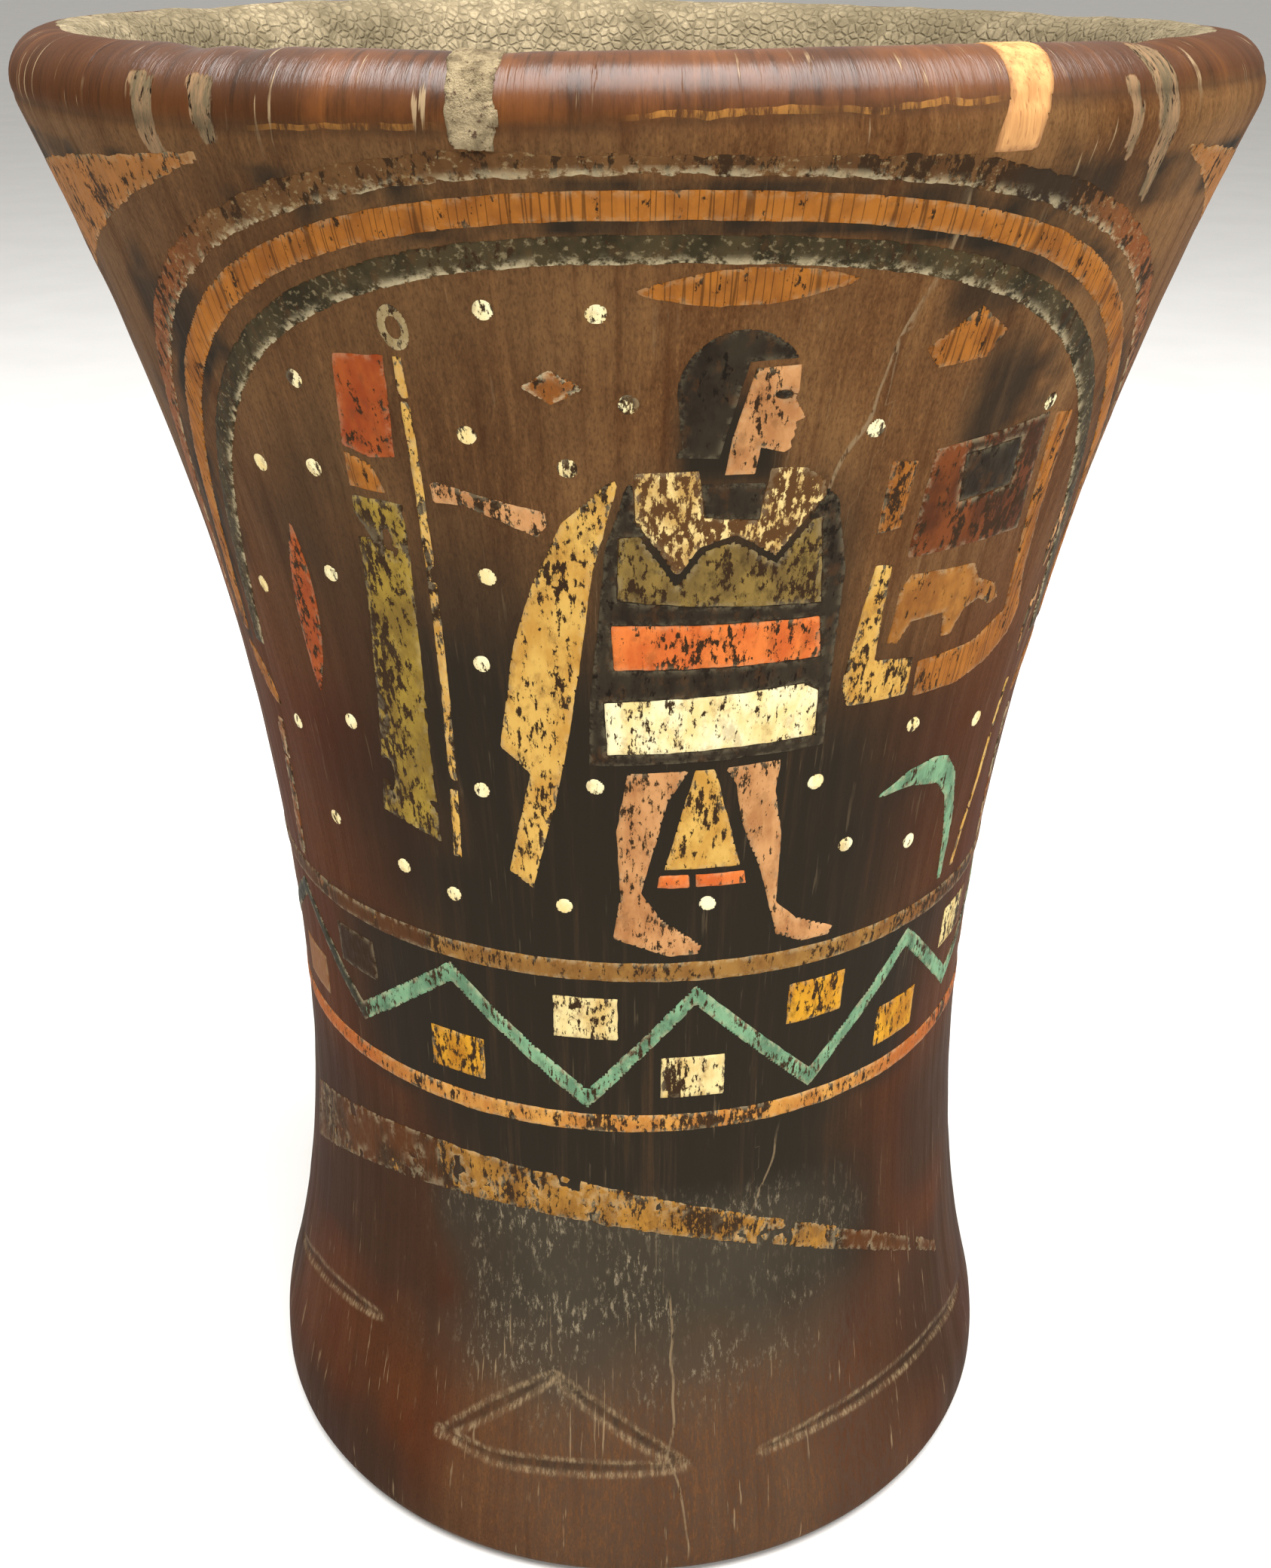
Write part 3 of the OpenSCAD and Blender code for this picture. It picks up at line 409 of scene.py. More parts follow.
def makeWood():
    material = newFinish("darkWood", **{
        "Specular IOR Level": 0.02, "Coat Roughness": 0.28, "Coat IOR": 1.6})
    skin = skinPlace()
    tone = tints(woodFinish)
    noise = {name: grain(*row[:5], skin if row[5] else None) for name, row in woodGrain.items()}
    streak, fine, pore = noise["streak"], noise["fine"], noise["pore"]
    patch, flake = noise["patch"], noise["flake"]
    # brown wood, reddened at the sides, partly as painted shade; sooty in the middle, with painted
    # shade on the upper left and at the foot's sides
    c = blend(ranged(patch, 0.3, 0.7), tone["dark"], tone["brown"])
    c = overlay(c, tone["light"], streak, 0.5, 0.72, 0.34)
    c = overlay(c, tone["light"], fine, 0.46, 0.3, 0.3)
    c = overlay(c, tone["light"], pore, 0.45, 0.3, 0.2)
    # red at the sides: partly the wood's own tone, partly painted shade
    redSideAndShade = times(pointValue("redSideAndShade"), ranged(patch, 0.2, 0.7, 0.6, 1.0))
    c = blend(redSideAndShade, c, tone["red"])
    c = overlay(c, tone["lipDark"], streak, 0.5, 0.32, 0.55)
    c = overlay(c, tone["lipDark"], fine, 0.5, 0.7, 0.36)
    c = overlay(c, tone["crackDark"], pore, 0.5, 0.66, 0.3)
    # soot, and the painted shade of the upper left and the foot's sides, pull the colour toward the
    # dark tone
    sootAndShade = times(pointValue("sootAndShade"), ranged(streak, 0.5, 0.72, 1.0, 0.86))
    c = blend(sootAndShade, c, tone["sootAndShade"])
    # ash and dust on the foot
    ash = pointValue("ash")
    c = blend(times(ash, ranged(patch, 0.3, 0.6, 0.6, 0.95)), c, tone["charcoal"])
    dust = times(pointValue("dust"), ranged(fine, 0.36, 0.6, 0.4, 1.0))
    c = blend(dust, c, tone["dust"])
    ashFleck = times(ranged(noise["ashFleck"], 0.53, 0.64),
                     ranged(noise["ashArea"], 0.42, 0.58, 0.2, 1.0))
    c = blend(times(ash, ashFleck), c, tone["ash"])
    # polished lip with dark wrinkles, and painted shade darkening it toward its sides
    lipTone = blend(ranged(noise["lipPatch"], 0.32, 0.66), tone["lipDark"], tone["lip"])
    lipTone = blend(pointValue("lipShade"), lipTone, tone["lipDark"])
    lipTone = overlay(lipTone, tone["crackDark"], noise["wrinkle"], 0.5, 0.68, 0.55)
    lipTone = overlay(lipTone, tone["lipGold"], streak, 0.54, 0.72, 0.3)
    c = blend(times(pointValue("lip"), 0.92), c, lipTone)
    # thin broken line of paint left in the groove under the lip
    below = combine("SUBTRACT", pointValue("lipAway"), times(noise["sway"], woodFinish["lineSway"]))
    onLine = addNode("Math", {"operation": "COMPARE"}, {
        0: below, 1: woodFinish["lineDrop"], 2: woodFinish["lineHalf"]}).outputs[0]
    line = times(times(pointValue("ochre"), onLine), ranged(flake, 0.42, 0.58))
    c = blend(line, c, tone["ochre"])
    scratchLine = ranged(noise["scratch"], 0.635, 0.68)
    scratch = times(scratchLine, ranged(noise["scratchArea"], 0.46, 0.6))
    c = blend(times(scratch, pointValue("scratch")), c, tone["scratch"])
    # cut lines: a dark core between rubbed edges
    cutIn = pointValue("cutIn")
    cutCore = times(ranged(cutIn, 0.9, 1.6, 0.0, 0.62), ranged(flake, 0.36, 0.6, 1.0, 0.3))
    c = blend(cutCore, c, tone["sootAndShade"])
    fromEdge = combine("ABSOLUTE", combine("SUBTRACT", cutIn, 1.0), 0.0)
    cutEdge = times(ranged(fromEdge, 0.8, 0.1, 0.0, 0.8),
                    ranged(noise["rub"], 0.46, 0.62, 0.12, 1.0))
    c = blend(cutEdge, c, tone["rub"])
    # bare drips, cracks and painted shade along the groove under the lip
    bareTone = blend(ranged(flake, 0.4, 0.64), tone["crumb"], tone["bare"])
    bareTone = blend(ranged(fine, 0.54, 0.66), bareTone, tone["crackDark"])
    bareAt = times(pointValue("bare"), plus(times(flake, 1.5), 0.05))
    bareAt = ranged(bareAt, 0.46, 0.58)
    c = blend(bareAt, c, bareTone)
    crackLine = ranged(combine("ABSOLUTE", pointValue("crackSide"), 0.0), 0.26, 0.08)
    crackOn = times(pointValue("crackOn"), ranged(flake, 0.34, 0.52, 0.25, 1.0))
    crackTone = blend(ranged(fine, 0.34, 0.46), tone["crackDark"], tone["rub"])
    c = blend(times(times(crackLine, crackOn), 0.9), c, crackTone)
    c = blend(times(pointValue("groove"), 0.9), c, tone["sootAndShade"])
    feed("Base Color", c)
    feed("Roughness", ranged(streak, 0.3, 0.7, 0.68, 0.54))
    gloss = combine("SUBTRACT", pointValue("gloss"), bareAt)
    feed("Coat Weight", combine("MAXIMUM", gloss, 0.0))
    addBump(plus(times(streak, 0.6), times(fine, 0.4)), 0.4, 0.0003)
    polish = plus(times(noise["wrinkle"], 0.7), times(scratchLine, 0.3))
    addBump(polish, 0.6, 0.0006, "Coat Normal")
    return material


bodyMesh = dict(columns=340, frontPull=0.5, footStep=0.62, wallStep=1.12, lipStep=0.62, baseRows=5,
                innerStep=10.0, filletStep=4.0, footTop=66.0, lipBelow=2.0)


# the cup: one closed line, base to lip to floor, turned round the axis and lifted by its wear
def makeBody(material):
    n = bodyMesh["columns"]
    t = (np.arange(n) + 0.5) / n * 2 - 1
    az = 180 * (t - bodyMesh["frontPull"] * np.sin(math.pi * t) / math.pi)
    footEnd, lipFrom = float(skinAt(bodyMesh["footTop"])), lipStart - bodyMesh["lipBelow"]
    s = join([
        np.arange(0, footEnd, bodyMesh["footStep"]),
        np.arange(footEnd, lipFrom, bodyMesh["wallStep"]),
        np.linspace(lipFrom, skinEnd, int((skinEnd - lipFrom) / bodyMesh["lipStep"]))])
    gridAz, gridS = np.meshgrid(az, s)
    h = woodHeight(gridAz, gridS)
    outer = skinPoint(gridAz, gridS, h)
    # flat base, closed by a point in its middle
    ringR = np.linspace(0, edgeX, bodyMesh["baseRows"] + 1)[1:-1]
    a = np.radians(az)
    base = ringPoints(ringR[:, None], 0.0, a)
    # wood inside, hidden by the coating
    inner = join([innerWall(bodyMesh["innerStep"])[1:], innerFillet(bodyMesh["filletStep"])])
    inside = ringPoints(inner[:, :1], inner[:, 1:], a)
    points, faces = closedRings(join([base, outer, inside]), 0, cup["floorT"])
    values = woodValues(gridAz, gridS, outer)
    before, after = np.zeros(len(base) * n), np.zeros(len(inside) * n + 2)
    values = {key: join([before, v.ravel(), after]) for key, v in values.items()}
    return addPiece("cupWood", points, faces, material, "cup_body", values)


# places on the wood; a drip runs from an azimuth and height to another, with a half width at each end
woodPlaces = dict(
    drips=[
        (-39.6, 198, -38.6, 190, 1.7, 1.4, 1.0), (-33, 198, -32.2, 191.4, 1.9, 1.2, 0.9),
        (43, 200, 45, 185.5, 2.9, 0.5, 1.0), (39.0, 197.6, 39.8, 190, 1.2, 0.4, 0.95),
        (-140, 200, -139, 188, 2.0, 0.6, 0.9), (128, 199, 129, 191, 1.6, 0.8, 0.9)],
    ochre=[(-21, 8.0, 188, 197, 0.5), (6, 7.0, 188, 197, 0.8), (20, 7.0, 188, 197, 0.9)],
    scratched=[(37, 6.0, 190, 200, 1.0), (-28, 4.5, 193, 200, 0.9), (14, 16.0, 194, 200, 0.9)],
    black=[(9, 14.0, 125, 159, 1.0), (8.6, 5.5, 159, 171, 1.0), (-47, 8.0, 170, 178, 0.85),
           (37, 4.5, 185.5, 191, 0.85), (33, 7.0, 179, 183, 0.8)],
    dark=[(-45, 8.0, 168, 181, 0.95), (36.5, 5.5, 184, 193, 1.0), (53, 7.0, 170, 182, 0.6),
          (38, 7.0, 156, 174, 0.9), (-55, 8.0, 140, 166, 0.7), (30, 5.0, 176, 184, 0.8)])


# soft-edged boxes on the wall: azimuth, half width in mm, lowest and highest height, strength
def spots(az, s, z, places):
    total = np.zeros(az.shape)
    for place, half, low, high, strength in places:
        away = abs(wayRound(az, place, s))
        level = between(z, low, high, 0.25 * (high - low) + 0.2)
        total = np.maximum(total, strength * eased(half * 1.35, half * 0.65, away) * level)
    return total


# bare drips: distance from each drip's line, within its half width there
def drips(az, s, z):
    total = np.zeros(az.shape)
    for az0, z0, az1, z1, half0, half1, strength in woodPlaces["drips"]:
        t = np.clip((z0 - z) / (z0 - z1), 0, 1)
        half = half0 + (half1 - half0) * t
        away = abs(wayRound(az, az0 + (az1 - az0) * t, s))
        total = np.maximum(total, strength * eased(half * 1.25 + 0.35, half * 0.7, away)
                           * eased(z1 - 0.8, z1 + 0.8, z) * eased(z0 + 0.9, z0 - 0.9, z))
    return total


# where the wood is sooty, red, ashen, rubbed, bare or polished, and where shade is painted on it: at
# the sides, on the upper left and in the groove under the lip; each from 0 to 1
def woodValues(az, s, points):
    z = skinHeight(s)
    outside = s < lipStart + lipR * (math.pi / 2 + lipPhi)
    cloud = roughNoise(points, 22, 41)
    wide = roughNoise(points, 40, 47)
    speckle = roughNoise(points, 3.0, 53)
    panel = (az + 90) % 180 - 90          # the back panel is darkened as the front one is
    blur, wideBlur = cloud - 0.5, wide - 0.5

    # 1 near an azimuth of the panel and 0 far from it, with a cloudy edge
    def beside(middle, far, near, sway):
        return eased(far, near, abs(panel - middle) + sway * blur)

    field = beside(2, 58, 20, 26) * eased(172, 128, z + 0.35 * panel + 26 * blur) * eased(22, 60, z)
    zigzag = beside(2, 66, 40, 20) * eased(66, 74, z) * eased(101, 96, z)
    footDark = beside(6, 54, 22, 26) * eased(72, 60, z) * eased(24, 44, z + 16 * blur)
    # painted shade: the upper left of each panel is darkened, carried with the soot
    upperLeftShade = 0.3 * eased(12, -14, panel + 20 * blur) * eased(136, 156, z)
    marks = spots(az, s, z, woodPlaces["dark"]) * eased(0.3, 0.6, cloud + 0.5 * (speckle - 0.5))
    marks = np.maximum(marks, spots(az, s, z, woodPlaces["black"]))
    marks = np.maximum(marks, archGaps(az, s) * eased(0.25, 0.6, cloud + 0.4 * (speckle - 0.5)))
    # painted shade: the foot is darkened toward its sides
    footSideShade = 0.6 * eased(24, 46, abs(panel - 8)) * eased(78, 62, z) * eased(0.25, 0.6, cloud)
    # soot and black ground, with the painted shade of the upper left and the foot's sides, in one
    # value
    sootAndShade = np.maximum.reduce([field, zigzag, footDark * 0.95, marks, upperLeftShade, footSideShade])
    sootAndShade = np.clip(sootAndShade, 0, 1)
    # the sides of each panel, partly red wood and partly painted shade
    side = eased(14, 46, abs(panel - 4) + 30 * wideBlur)
    side = np.maximum(side, 0.5 * eased(46, 20, z + 24 * blur))
    redSideAndShade = np.clip(side * eased(176, 110, z) * (0.65 + 0.7 * wide), 0, 1)
    ash = beside(-1, 40, 14, 40) * eased(64, 56, z) * eased(20, 38, z + 34 * blur)
    dust = 0.75 * beside(12, 46, 20, 24) * eased(46, 30, z) * (0.5 + 0.6 * wide)
    lip = eased(lipEdge(az) - 1.5, lipEdge(az) + 1.5, s)
    # painted shade: the lip is darkened toward its sides
    lipShade = 0.85 * lip * eased(20, 44, abs(az))
    gloss = (0.65 + 0.25 * eased(-6, -22, az)) * (1 - 0.75 * eased(34, 52, abs(az)))
    gloss = gloss * eased(lipStart + 2.5, lipStart + 7, s)
    scratch = np.clip(0.1 + 0.7 * lip + eased(60, 30, z) * 0.35, 0, 1)
    scratch = np.maximum(scratch, spots(az, s, z, woodPlaces["scratched"]) * outside)
    ochre = spots(az, s, z, woodPlaces["ochre"]) * outside
    bare = drips(az, s, z) * outside
    # painted shade: a dark line along the groove under the lip
    groove = np.exp(-((s - lipEdge(az)) / wear["lipGrooveW"]) ** 2) * 0.45
    cutIn = np.zeros(az.shape)
    for line in wear["cuts"]:
        away = lineDistance(az, s, line)
        t = np.clip((az - line[0][0]) / (line[-1][0] - line[0][0]), 0, 1)
        half = 0.3 + 0.8 * np.sqrt(np.sin(math.pi * t))      # the cut runs to a point at its ends
        # 1 on the edge of a cut, more inside it and 0 away from it
        cutIn = np.maximum(cutIn, np.clip(1 + half - away, 0, 3))
    # a crack is kept as the sideways distance from its line, so that the finish can draw it thin
    crackSide, crackOn = np.full(az.shape, 9.0), np.zeros(az.shape)
    for line in wear["cracks"]:
        lineAz, lineZ = np.array(line).T
        way = np.interp(z, lineZ[::-1], lineAz[::-1]) + 2.2 * (softNoise(points, 5.0, 71) - 0.5)
        aside = wayRound(az, way, s)
        nearer = abs(aside) < abs(crackSide)
        crackSide = np.where(nearer, aside, crackSide)
        within = between(z, lineZ.min() + 1.5, lineZ.max() - 1.5, 1.5) * outside
        crackOn = np.where(nearer, within * (0.4 + 0.5 * cloud), crackOn)
    return dict(
        sootAndShade=sootAndShade, redSideAndShade=redSideAndShade, ash=ash, dust=dust, ochre=ochre, lip=lip, lipShade=lipShade,
        scratch=scratch, bare=bare, groove=groove, lipAway=(s - lipEdge(az)) * 0.001, cutIn=cutIn,
        crackSide=crackSide, crackOn=crackOn, along=s * 0.001, gloss=gloss)


crust = dict(
    pale=(166, 150, 120), grey=(120, 108, 84), brown=(116, 102, 74), crack=(84, 74, 53), cellSize=4.2,
    relief=0.26, crackDepth=0.2, columns=352, step=0.8, coarseStep=1.6, lipFrom=84.0, frontEdge=3.6,
    backEdge=0.7, edgeRag=2.2, edgeRagSize=4.0, lipThick=0.24, hidden=-0.12, meanR=54.0, paintedShadeAz=118.0,
    bend=2.4, bendSize=6.0, reliefSize=3.2, smallShare=2.2, floorHole=8.0, rearStep=6, rearDrop=0.5)


# distance from the nearest cell border on the inside wall: second nearest seed minus nearest
def cellBorder(u, v, size, turn, seed):
    cu, cv = u / size, v / size
    around = int(round(turn / size))
    iu, iv = np.floor(cu), np.floor(cv)
    near = np.full(cu.shape, 9.0)
    second = np.full(cu.shape, 9.0)
    for du, dv in np.ndindex(3, 3):
        gu, gv = iu + du - 1, iv + dv - 1
        wrap = np.mod(gu, around)
        su = gu + cornerValue(wrap, gv, 1.0, seed)
        sv = gv + cornerValue(wrap, gv, 2.0, seed)
        d = np.hypot(cu - su, cv - sv)
        second = np.minimum(second, np.maximum(near, d))
        near = np.minimum(near, d)
    return second - near


def makeCrustFinish():
    material = newFinish("driedCrust", **{"Specular IOR Level": 0.2, "Roughness": 0.85})
    skin = skinPlace()
    patch = grain(60, 40, 5.0, 0.65)
    speck = grain(900, 800, 4.0, 0.7, 5.0, skin)
    drip = grain(200, 14, 4.0, 0.6, 8.0, skin)
    cells = cellLines(skin, 860, 800, 0.02, 0.2)
    small = cellLines(skin, 1900, 1700, 0.02, 0.3)
    tone = tints(crust)
    c = blend(ranged(patch, 0.35, 0.65), tone["grey"], tone["pale"])
    c = overlay(c, tone["brown"], drip, 0.52, 0.72, 0.4)
    c = overlay(c, tone["brown"], speck, 0.55, 0.7, 0.45)
    c = blend(times(small, 0.35), c, tone["brown"])
    c = blend(times(cells, 0.38), c, tone["crack"])
    # cracks, and the painted shade to the right of the far side, pull the colour toward the crack
    # tone
    c = blend(times(pointValue("crack"), 0.5), c, tone["crack"])
    feed("Base Color", c)
    height = combine("SUBTRACT", plus(times(speck, 0.4), 0.5), times(cells, 0.5))
    addBump(height, 0.7, 0.0006)
    return material


# coating inside: a line from the top of the lip to the floor, turned round the axis, as curled
# scales between cracks; it thickens from the lip downward
def makeCoating(material):
    n, step, coarse = crust["columns"], crust["step"], crust["coarseStep"]
    wallZ = np.arange(cup["waistZ"] - coarse, filletZ + step, -coarse)
    floorR = np.arange(filletX - coarse, crust["floorHole"], -coarse)
    line = join([
        arcPoints(lipX, lipZ, lipR, math.radians(crust["lipFrom"]), math.pi - lipPhi, 0.6)[:-1],
        innerWall(step),
        np.stack([np.full(len(wallZ), innerR), wallZ], 1),
        innerFillet(step),
        np.stack([floorR, np.full(len(floorR), cup["floorT"])], 1)])
    length = join([[0], np.cumsum(np.hypot(*np.diff(line, axis=0).T))])
    slope = np.gradient(line, length, axis=0)
    slope = slope / np.hypot(slope[:, :1], slope[:, 1:])
    normal = np.stack([slope[:, 1], -slope[:, 0]], 1)
    az = np.arange(n) * 360 / n
    a = np.radians(az)
    turn = 2 * math.pi * crust["meanR"]
    u, v = np.meshgrid(az / 360 * turn, length)
    flat = ringPoints(line[:, :1], line[:, 1:], a)
    bend = crust["bend"] * (softNoise(flat, crust["bendSize"], 5) - 0.5)
    size = crust["cellSize"]
    border = cellBorder(u + bend, v + bend, size, turn, 7)
    small = cellBorder(u - bend, v + bend, size / crust["smallShare"], turn, 17)
    crack = np.clip(1 - eased(0.03, 0.2, border) + 0.5 * (1 - eased(0.02, 0.2, small)), 0, 1)
    full = cup["fitGap"] + cup["coatingT"]
    thick = crust["lipThick"] + (full - crust["lipThick"]) * eased(2, 12, v)
    # on the lip it lies on the worn wood; its ragged edge comes further over the lip at the back
    lipLength = lipR * (math.pi - lipPhi - math.radians(crust["lipFrom"]))
    wood = woodHeight(np.broadcast_to(az, u.shape), np.minimum(skinEnd - lipLength + v, skinEnd))
    wood = wood * eased(lipLength + 9, lipLength - 1, v)
    behind = 0.5 - 0.5 * np.cos(a)
    frontEdge, backEdge = crust["frontEdge"], crust["backEdge"]
    edge = frontEdge + (backEdge - frontEdge) * eased(0.1, 0.45, behind)
    edge = edge + crust["edgeRag"] * (roughNoise(flat, crust["edgeRagSize"], 67) - 0.5)
    bumps = crust["relief"] * 2 * (roughNoise(flat, crust["reliefSize"], 61) - 0.5)
    bumps = bumps - crust["crackDepth"] * crack
    h = np.maximum(thick + bumps * eased(0, 4, v - edge) * eased(0, 6, length[-1] - v), 0.05)
    h = wood + np.where(v < edge, crust["hidden"], h * eased(-0.4, 1.4, v - edge))
    r = line[:, :1] + normal[:, :1] * h
    z = line[:, 1:] + normal[:, 1:] * h
    front = ringPoints(r, z, a)
    # back of the shell, from the floor up, on every few rows
    rows = slice(None, None, -crust["rearStep"])
    under = (wood - crust["rearDrop"])[rows]
    backR = line[rows, :1] + normal[rows, :1] * under
    backZ = line[rows, 1:] + normal[rows, 1:] * under
    rear = ringPoints(backR, backZ, a)
    points, faces = closedRings(join([rear, front]), backZ[0].mean(), z[-1].mean())
    # painted shade: the wall is darkened to the right of the far side, carried in the crack value
    # with the real cracks
    crackAndShade = np.clip(crack + 0.8 * eased(75, 30, abs(az - crust["paintedShadeAz"])), 0, 1)
    along = join([np.repeat(length[rows], n), v.ravel(), [length[-1]] * 2])
    values = dict(crack=join([np.zeros(len(rear) * n), crackAndShade.ravel(), [0, 0]]), along=along * 0.001)
    return addPiece("innerCrust", points, faces, material, "inner_coating", values)


makeCoating(makeCrustFinish())
print("coating laid")

# resin finishes: what they share is the tone of flecks, pale edges, cracks and grit, the colour where
# worn and at the sides, and the share of stain, grit and fine upright cracks
resinShared = dict(
    fleckTone=(48, 34, 21), paleTone=(180, 166, 132), crackTone=(54, 33, 17), gritTone=(112, 98, 70),
    under=(88, 57, 31), side=None, stain=0.5, grit=0.0, crackle=0.0, shine=0.03)
# each finish: main and second colour, share of dark flecks, share of pale edge, and what departs
resins = dict(
    orange_resin=((146, 91, 35), (120, 72, 29), 0.28, 0.2, dict(stain=0.45, crackle=0.65)),
    dull_orange=((138, 90, 45), (122, 82, 43), 0.26, 0.25, dict(under=(86, 58, 34))),
    shield_orange=((104, 56, 27), (72, 39, 21), 0.34, 0.3, dict(under=(66, 36, 20))),
    red_resin=((198, 108, 51), (176, 84, 38), 0.36, 0.2, {}),
    banner_red=((142, 70, 31), (124, 54, 25), 0.36, 0.2, {}),
    ochre_resin=((190, 152, 78), (168, 124, 55), 0.42, 0.25, {}),
    ground_ochre=((134, 98, 49), (112, 77, 37), 0.4, 0.3, dict(
        side=(108, 70, 34), under=(74, 45, 23))),
    band_ochre=((178, 128, 62), (156, 102, 46), 0.42, 0.3, dict(side=(148, 80, 33))),
    stripe_ochre=((144, 102, 42), (106, 72, 31), 0.48, 0.3, dict(under=(74, 43, 20))),
    tile_ochre=((186, 134, 36), (150, 98, 27), 0.5, 0.2, dict(under=(46, 31, 19))),
    animal_ochre=((146, 98, 44), (116, 72, 32), 0.36, 0.3, {}),
    worn_ochre_resin=((94, 66, 38), (76, 51, 29), 0.44, 0.6, dict(
        grit=0.5, gritTone=(138, 120, 86), side=(112, 64, 31), under=(46, 36, 26))),
    cream_resin=((222, 212, 170), (208, 184, 122), 0.4, 0.2, dict(under=(116, 84, 48))),
    tile_cream=((204, 186, 132), (182, 154, 94), 0.5, 0.2, dict(under=(116, 78, 48))),
    olive_resin=((120, 98, 50), (88, 70, 39), 0.48, 0.2, dict(under=(58, 46, 26), stain=0.8)),
    turquoise_resin=((110, 146, 112), (80, 110, 84), 0.46, 0.4, dict(under=(42, 42, 32))),
    flesh_resin=((178, 130, 84), (150, 102, 62), 0.38, 0.2, {}),
    dark_green_resin=((60, 51, 33), (40, 35, 23), 0.3, 0.75, dict(grit=0.7, gritTone=(116, 103, 76))),
    black_resin=((48, 41, 31), (35, 29, 22), 0.3, 0.12, dict(fleckTone=(26, 21, 16))),
    collar_cream=((216, 192, 130), (172, 138, 78), 0.5, 0.2, dict(
        fleckTone=(80, 54, 30), under=(116, 82, 46), stain=0.9)),
    banner_olive=((138, 114, 46), (108, 86, 37), 0.36, 0.2, dict(under=(62, 45, 25))),
    ring_bone=((150, 132, 94), (116, 98, 66), 0.36, 0.2, dict(under=(92, 66, 38))),
    feather_orange=((146, 88, 36), (106, 64, 30), 0.4, 0.7, dict(under=(92, 60, 33))))


def makeResin(name, main, second, fleck, pale, more):
    look = tints(dict(resinShared, main=main, second=second, **more))
    material = newFinish(name, **{"Specular IOR Level": look["shine"]})
    seed = float(sum(map(ord, name)) % 50)
    skin = skinPlace()
    cloud = grain(300, 160, 4.0, 0.6, seed, skin)
    line = grain(1900, 240, 3.0, 0.65, seed + 3, skin)
    speck = grain(1300, 620, 4.0, 0.7, seed + 7, skin)
    worn = pointValue("worn")
    c = blend(ranged(cloud, 0.36, 0.66), look["main"], look["second"])
    if look["side"]:
        c = blend(pointValue("side"), c, look["side"])
    stain = ranged(grain(620, 380, 5.0, 0.7, seed + 17, skin), 0.5, 0.68)
    c = blend(times(stain, fleck * look["stain"] * 2), c, look["under"])
    if look["grit"] > 0:
        grit = ranged(grain(1700, 1700, 3.0, 0.6, seed + 23, skin), 0.55, 0.68)
        c = blend(times(grit, look["grit"]), c, look["gritTone"])
    fleckAt = plus(times(speck, 0.75), times(line, 0.25))
    fleckAt = plus(fleckAt, times(worn, 0.3))
    first = 0.69 - 0.3 * fleck
    c = blend(ranged(fleckAt, first, first + 0.05), c, look["fleckTone"])
    wornAt = plus(times(worn, 0.75), times(line, 0.5))
    c = blend(times(ranged(wornAt, 0.56, 0.86), 0.95), c, look["under"])
    if look["crackle"] > 0:
        crack = cellLines(skin, 1150, 18, 0.015, 0.06)
        c = blend(times(crack, look["crackle"]), c, look["crackTone"])
    paleBreak = ranged(grain(760, 700, 4.0, 0.7, seed + 11, skin), 0.44, 0.58)
    paleAt = times(pointValue("paleEdge"), paleBreak)
    c = blend(times(paleAt, pale), c, look["paleTone"])
    feed("Base Color", c)
    feed("Roughness", ranged(speck, 0.3, 0.7, 0.52, 0.72))
    height = plus(times(line, 0.5), times(speck, 0.5))
    addBump(height, 0.4, 0.0003)
    return material


repairFinish = tints(dict(
    woodDark=(168, 120, 72), woodLight=(198, 148, 92), woodLine=(120, 74, 44), woodEdge=(96, 58, 34),
    fillDark=(98, 84, 61), fillLight=(143, 127, 97), fillHole=(70, 52, 36)))


def makePaleWood():
    material = newFinish("paleWood", **{"Specular IOR Level": 0.15, "Roughness": 0.6})
    streak = grain(900, 40, 4.0, 0.6, 2.0)
    fine = grain(2400, 160, 2.0, 0.6, 6.0)
    c = blend(ranged(streak, 0.35, 0.65), repairFinish["woodDark"], repairFinish["woodLight"])
    c = overlay(c, repairFinish["woodLine"], fine, 0.55, 0.7, 0.6)
    c = blend(times(pointValue("paleEdge"), 0.5), c, repairFinish["woodEdge"])
    feed("Base Color", c)
    addBump(streak, 0.4, 0.0003)
    return material


def makeFiller():
    material = newFinish("greyFiller", **{"Specular IOR Level": 0.2, "Roughness": 0.9})
    lump = grain(500, 500, 5.0, 0.7, 2.0)
    speck = grain(1600, 1600, 3.0, 0.7, 6.0)
    c = blend(ranged(lump, 0.35, 0.62), repairFinish["fillDark"], repairFinish["fillLight"])
    c = blend(ranged(speck, 0.58, 0.68), c, repairFinish["fillHole"])
    feed("Base Color", c)
    addBump(speck, 0.8, 0.0008)
    return material


slotOf = {row["node"]: row["material_slot"] for row in frame["record"]["subparts"]}
finishes = {name: makeResin(name, *row) for name, row in resins.items()}
finishes["pale_wood"] = makePaleWood()
finishes["grey_filler"] = makeFiller()
# nodes whose own wear or tone departs from that of their slot
ownFinish = dict(
    foot_stripe="stripe_ochre", ochre_tiles="tile_ochre", animal="animal_ochre",
    ground_line="ground_ochre", lower_band="band_ochre", spandrels="dull_orange",
    shield_frame="shield_orange", banner_red="banner_red", cream_tiles="tile_cream",
    shield_square="black_resin", collar="collar_cream", red_leaf="banner_red",
    banner_olive="banner_olive", staff_ring="ring_bone", feather_lozenge="feather_orange")

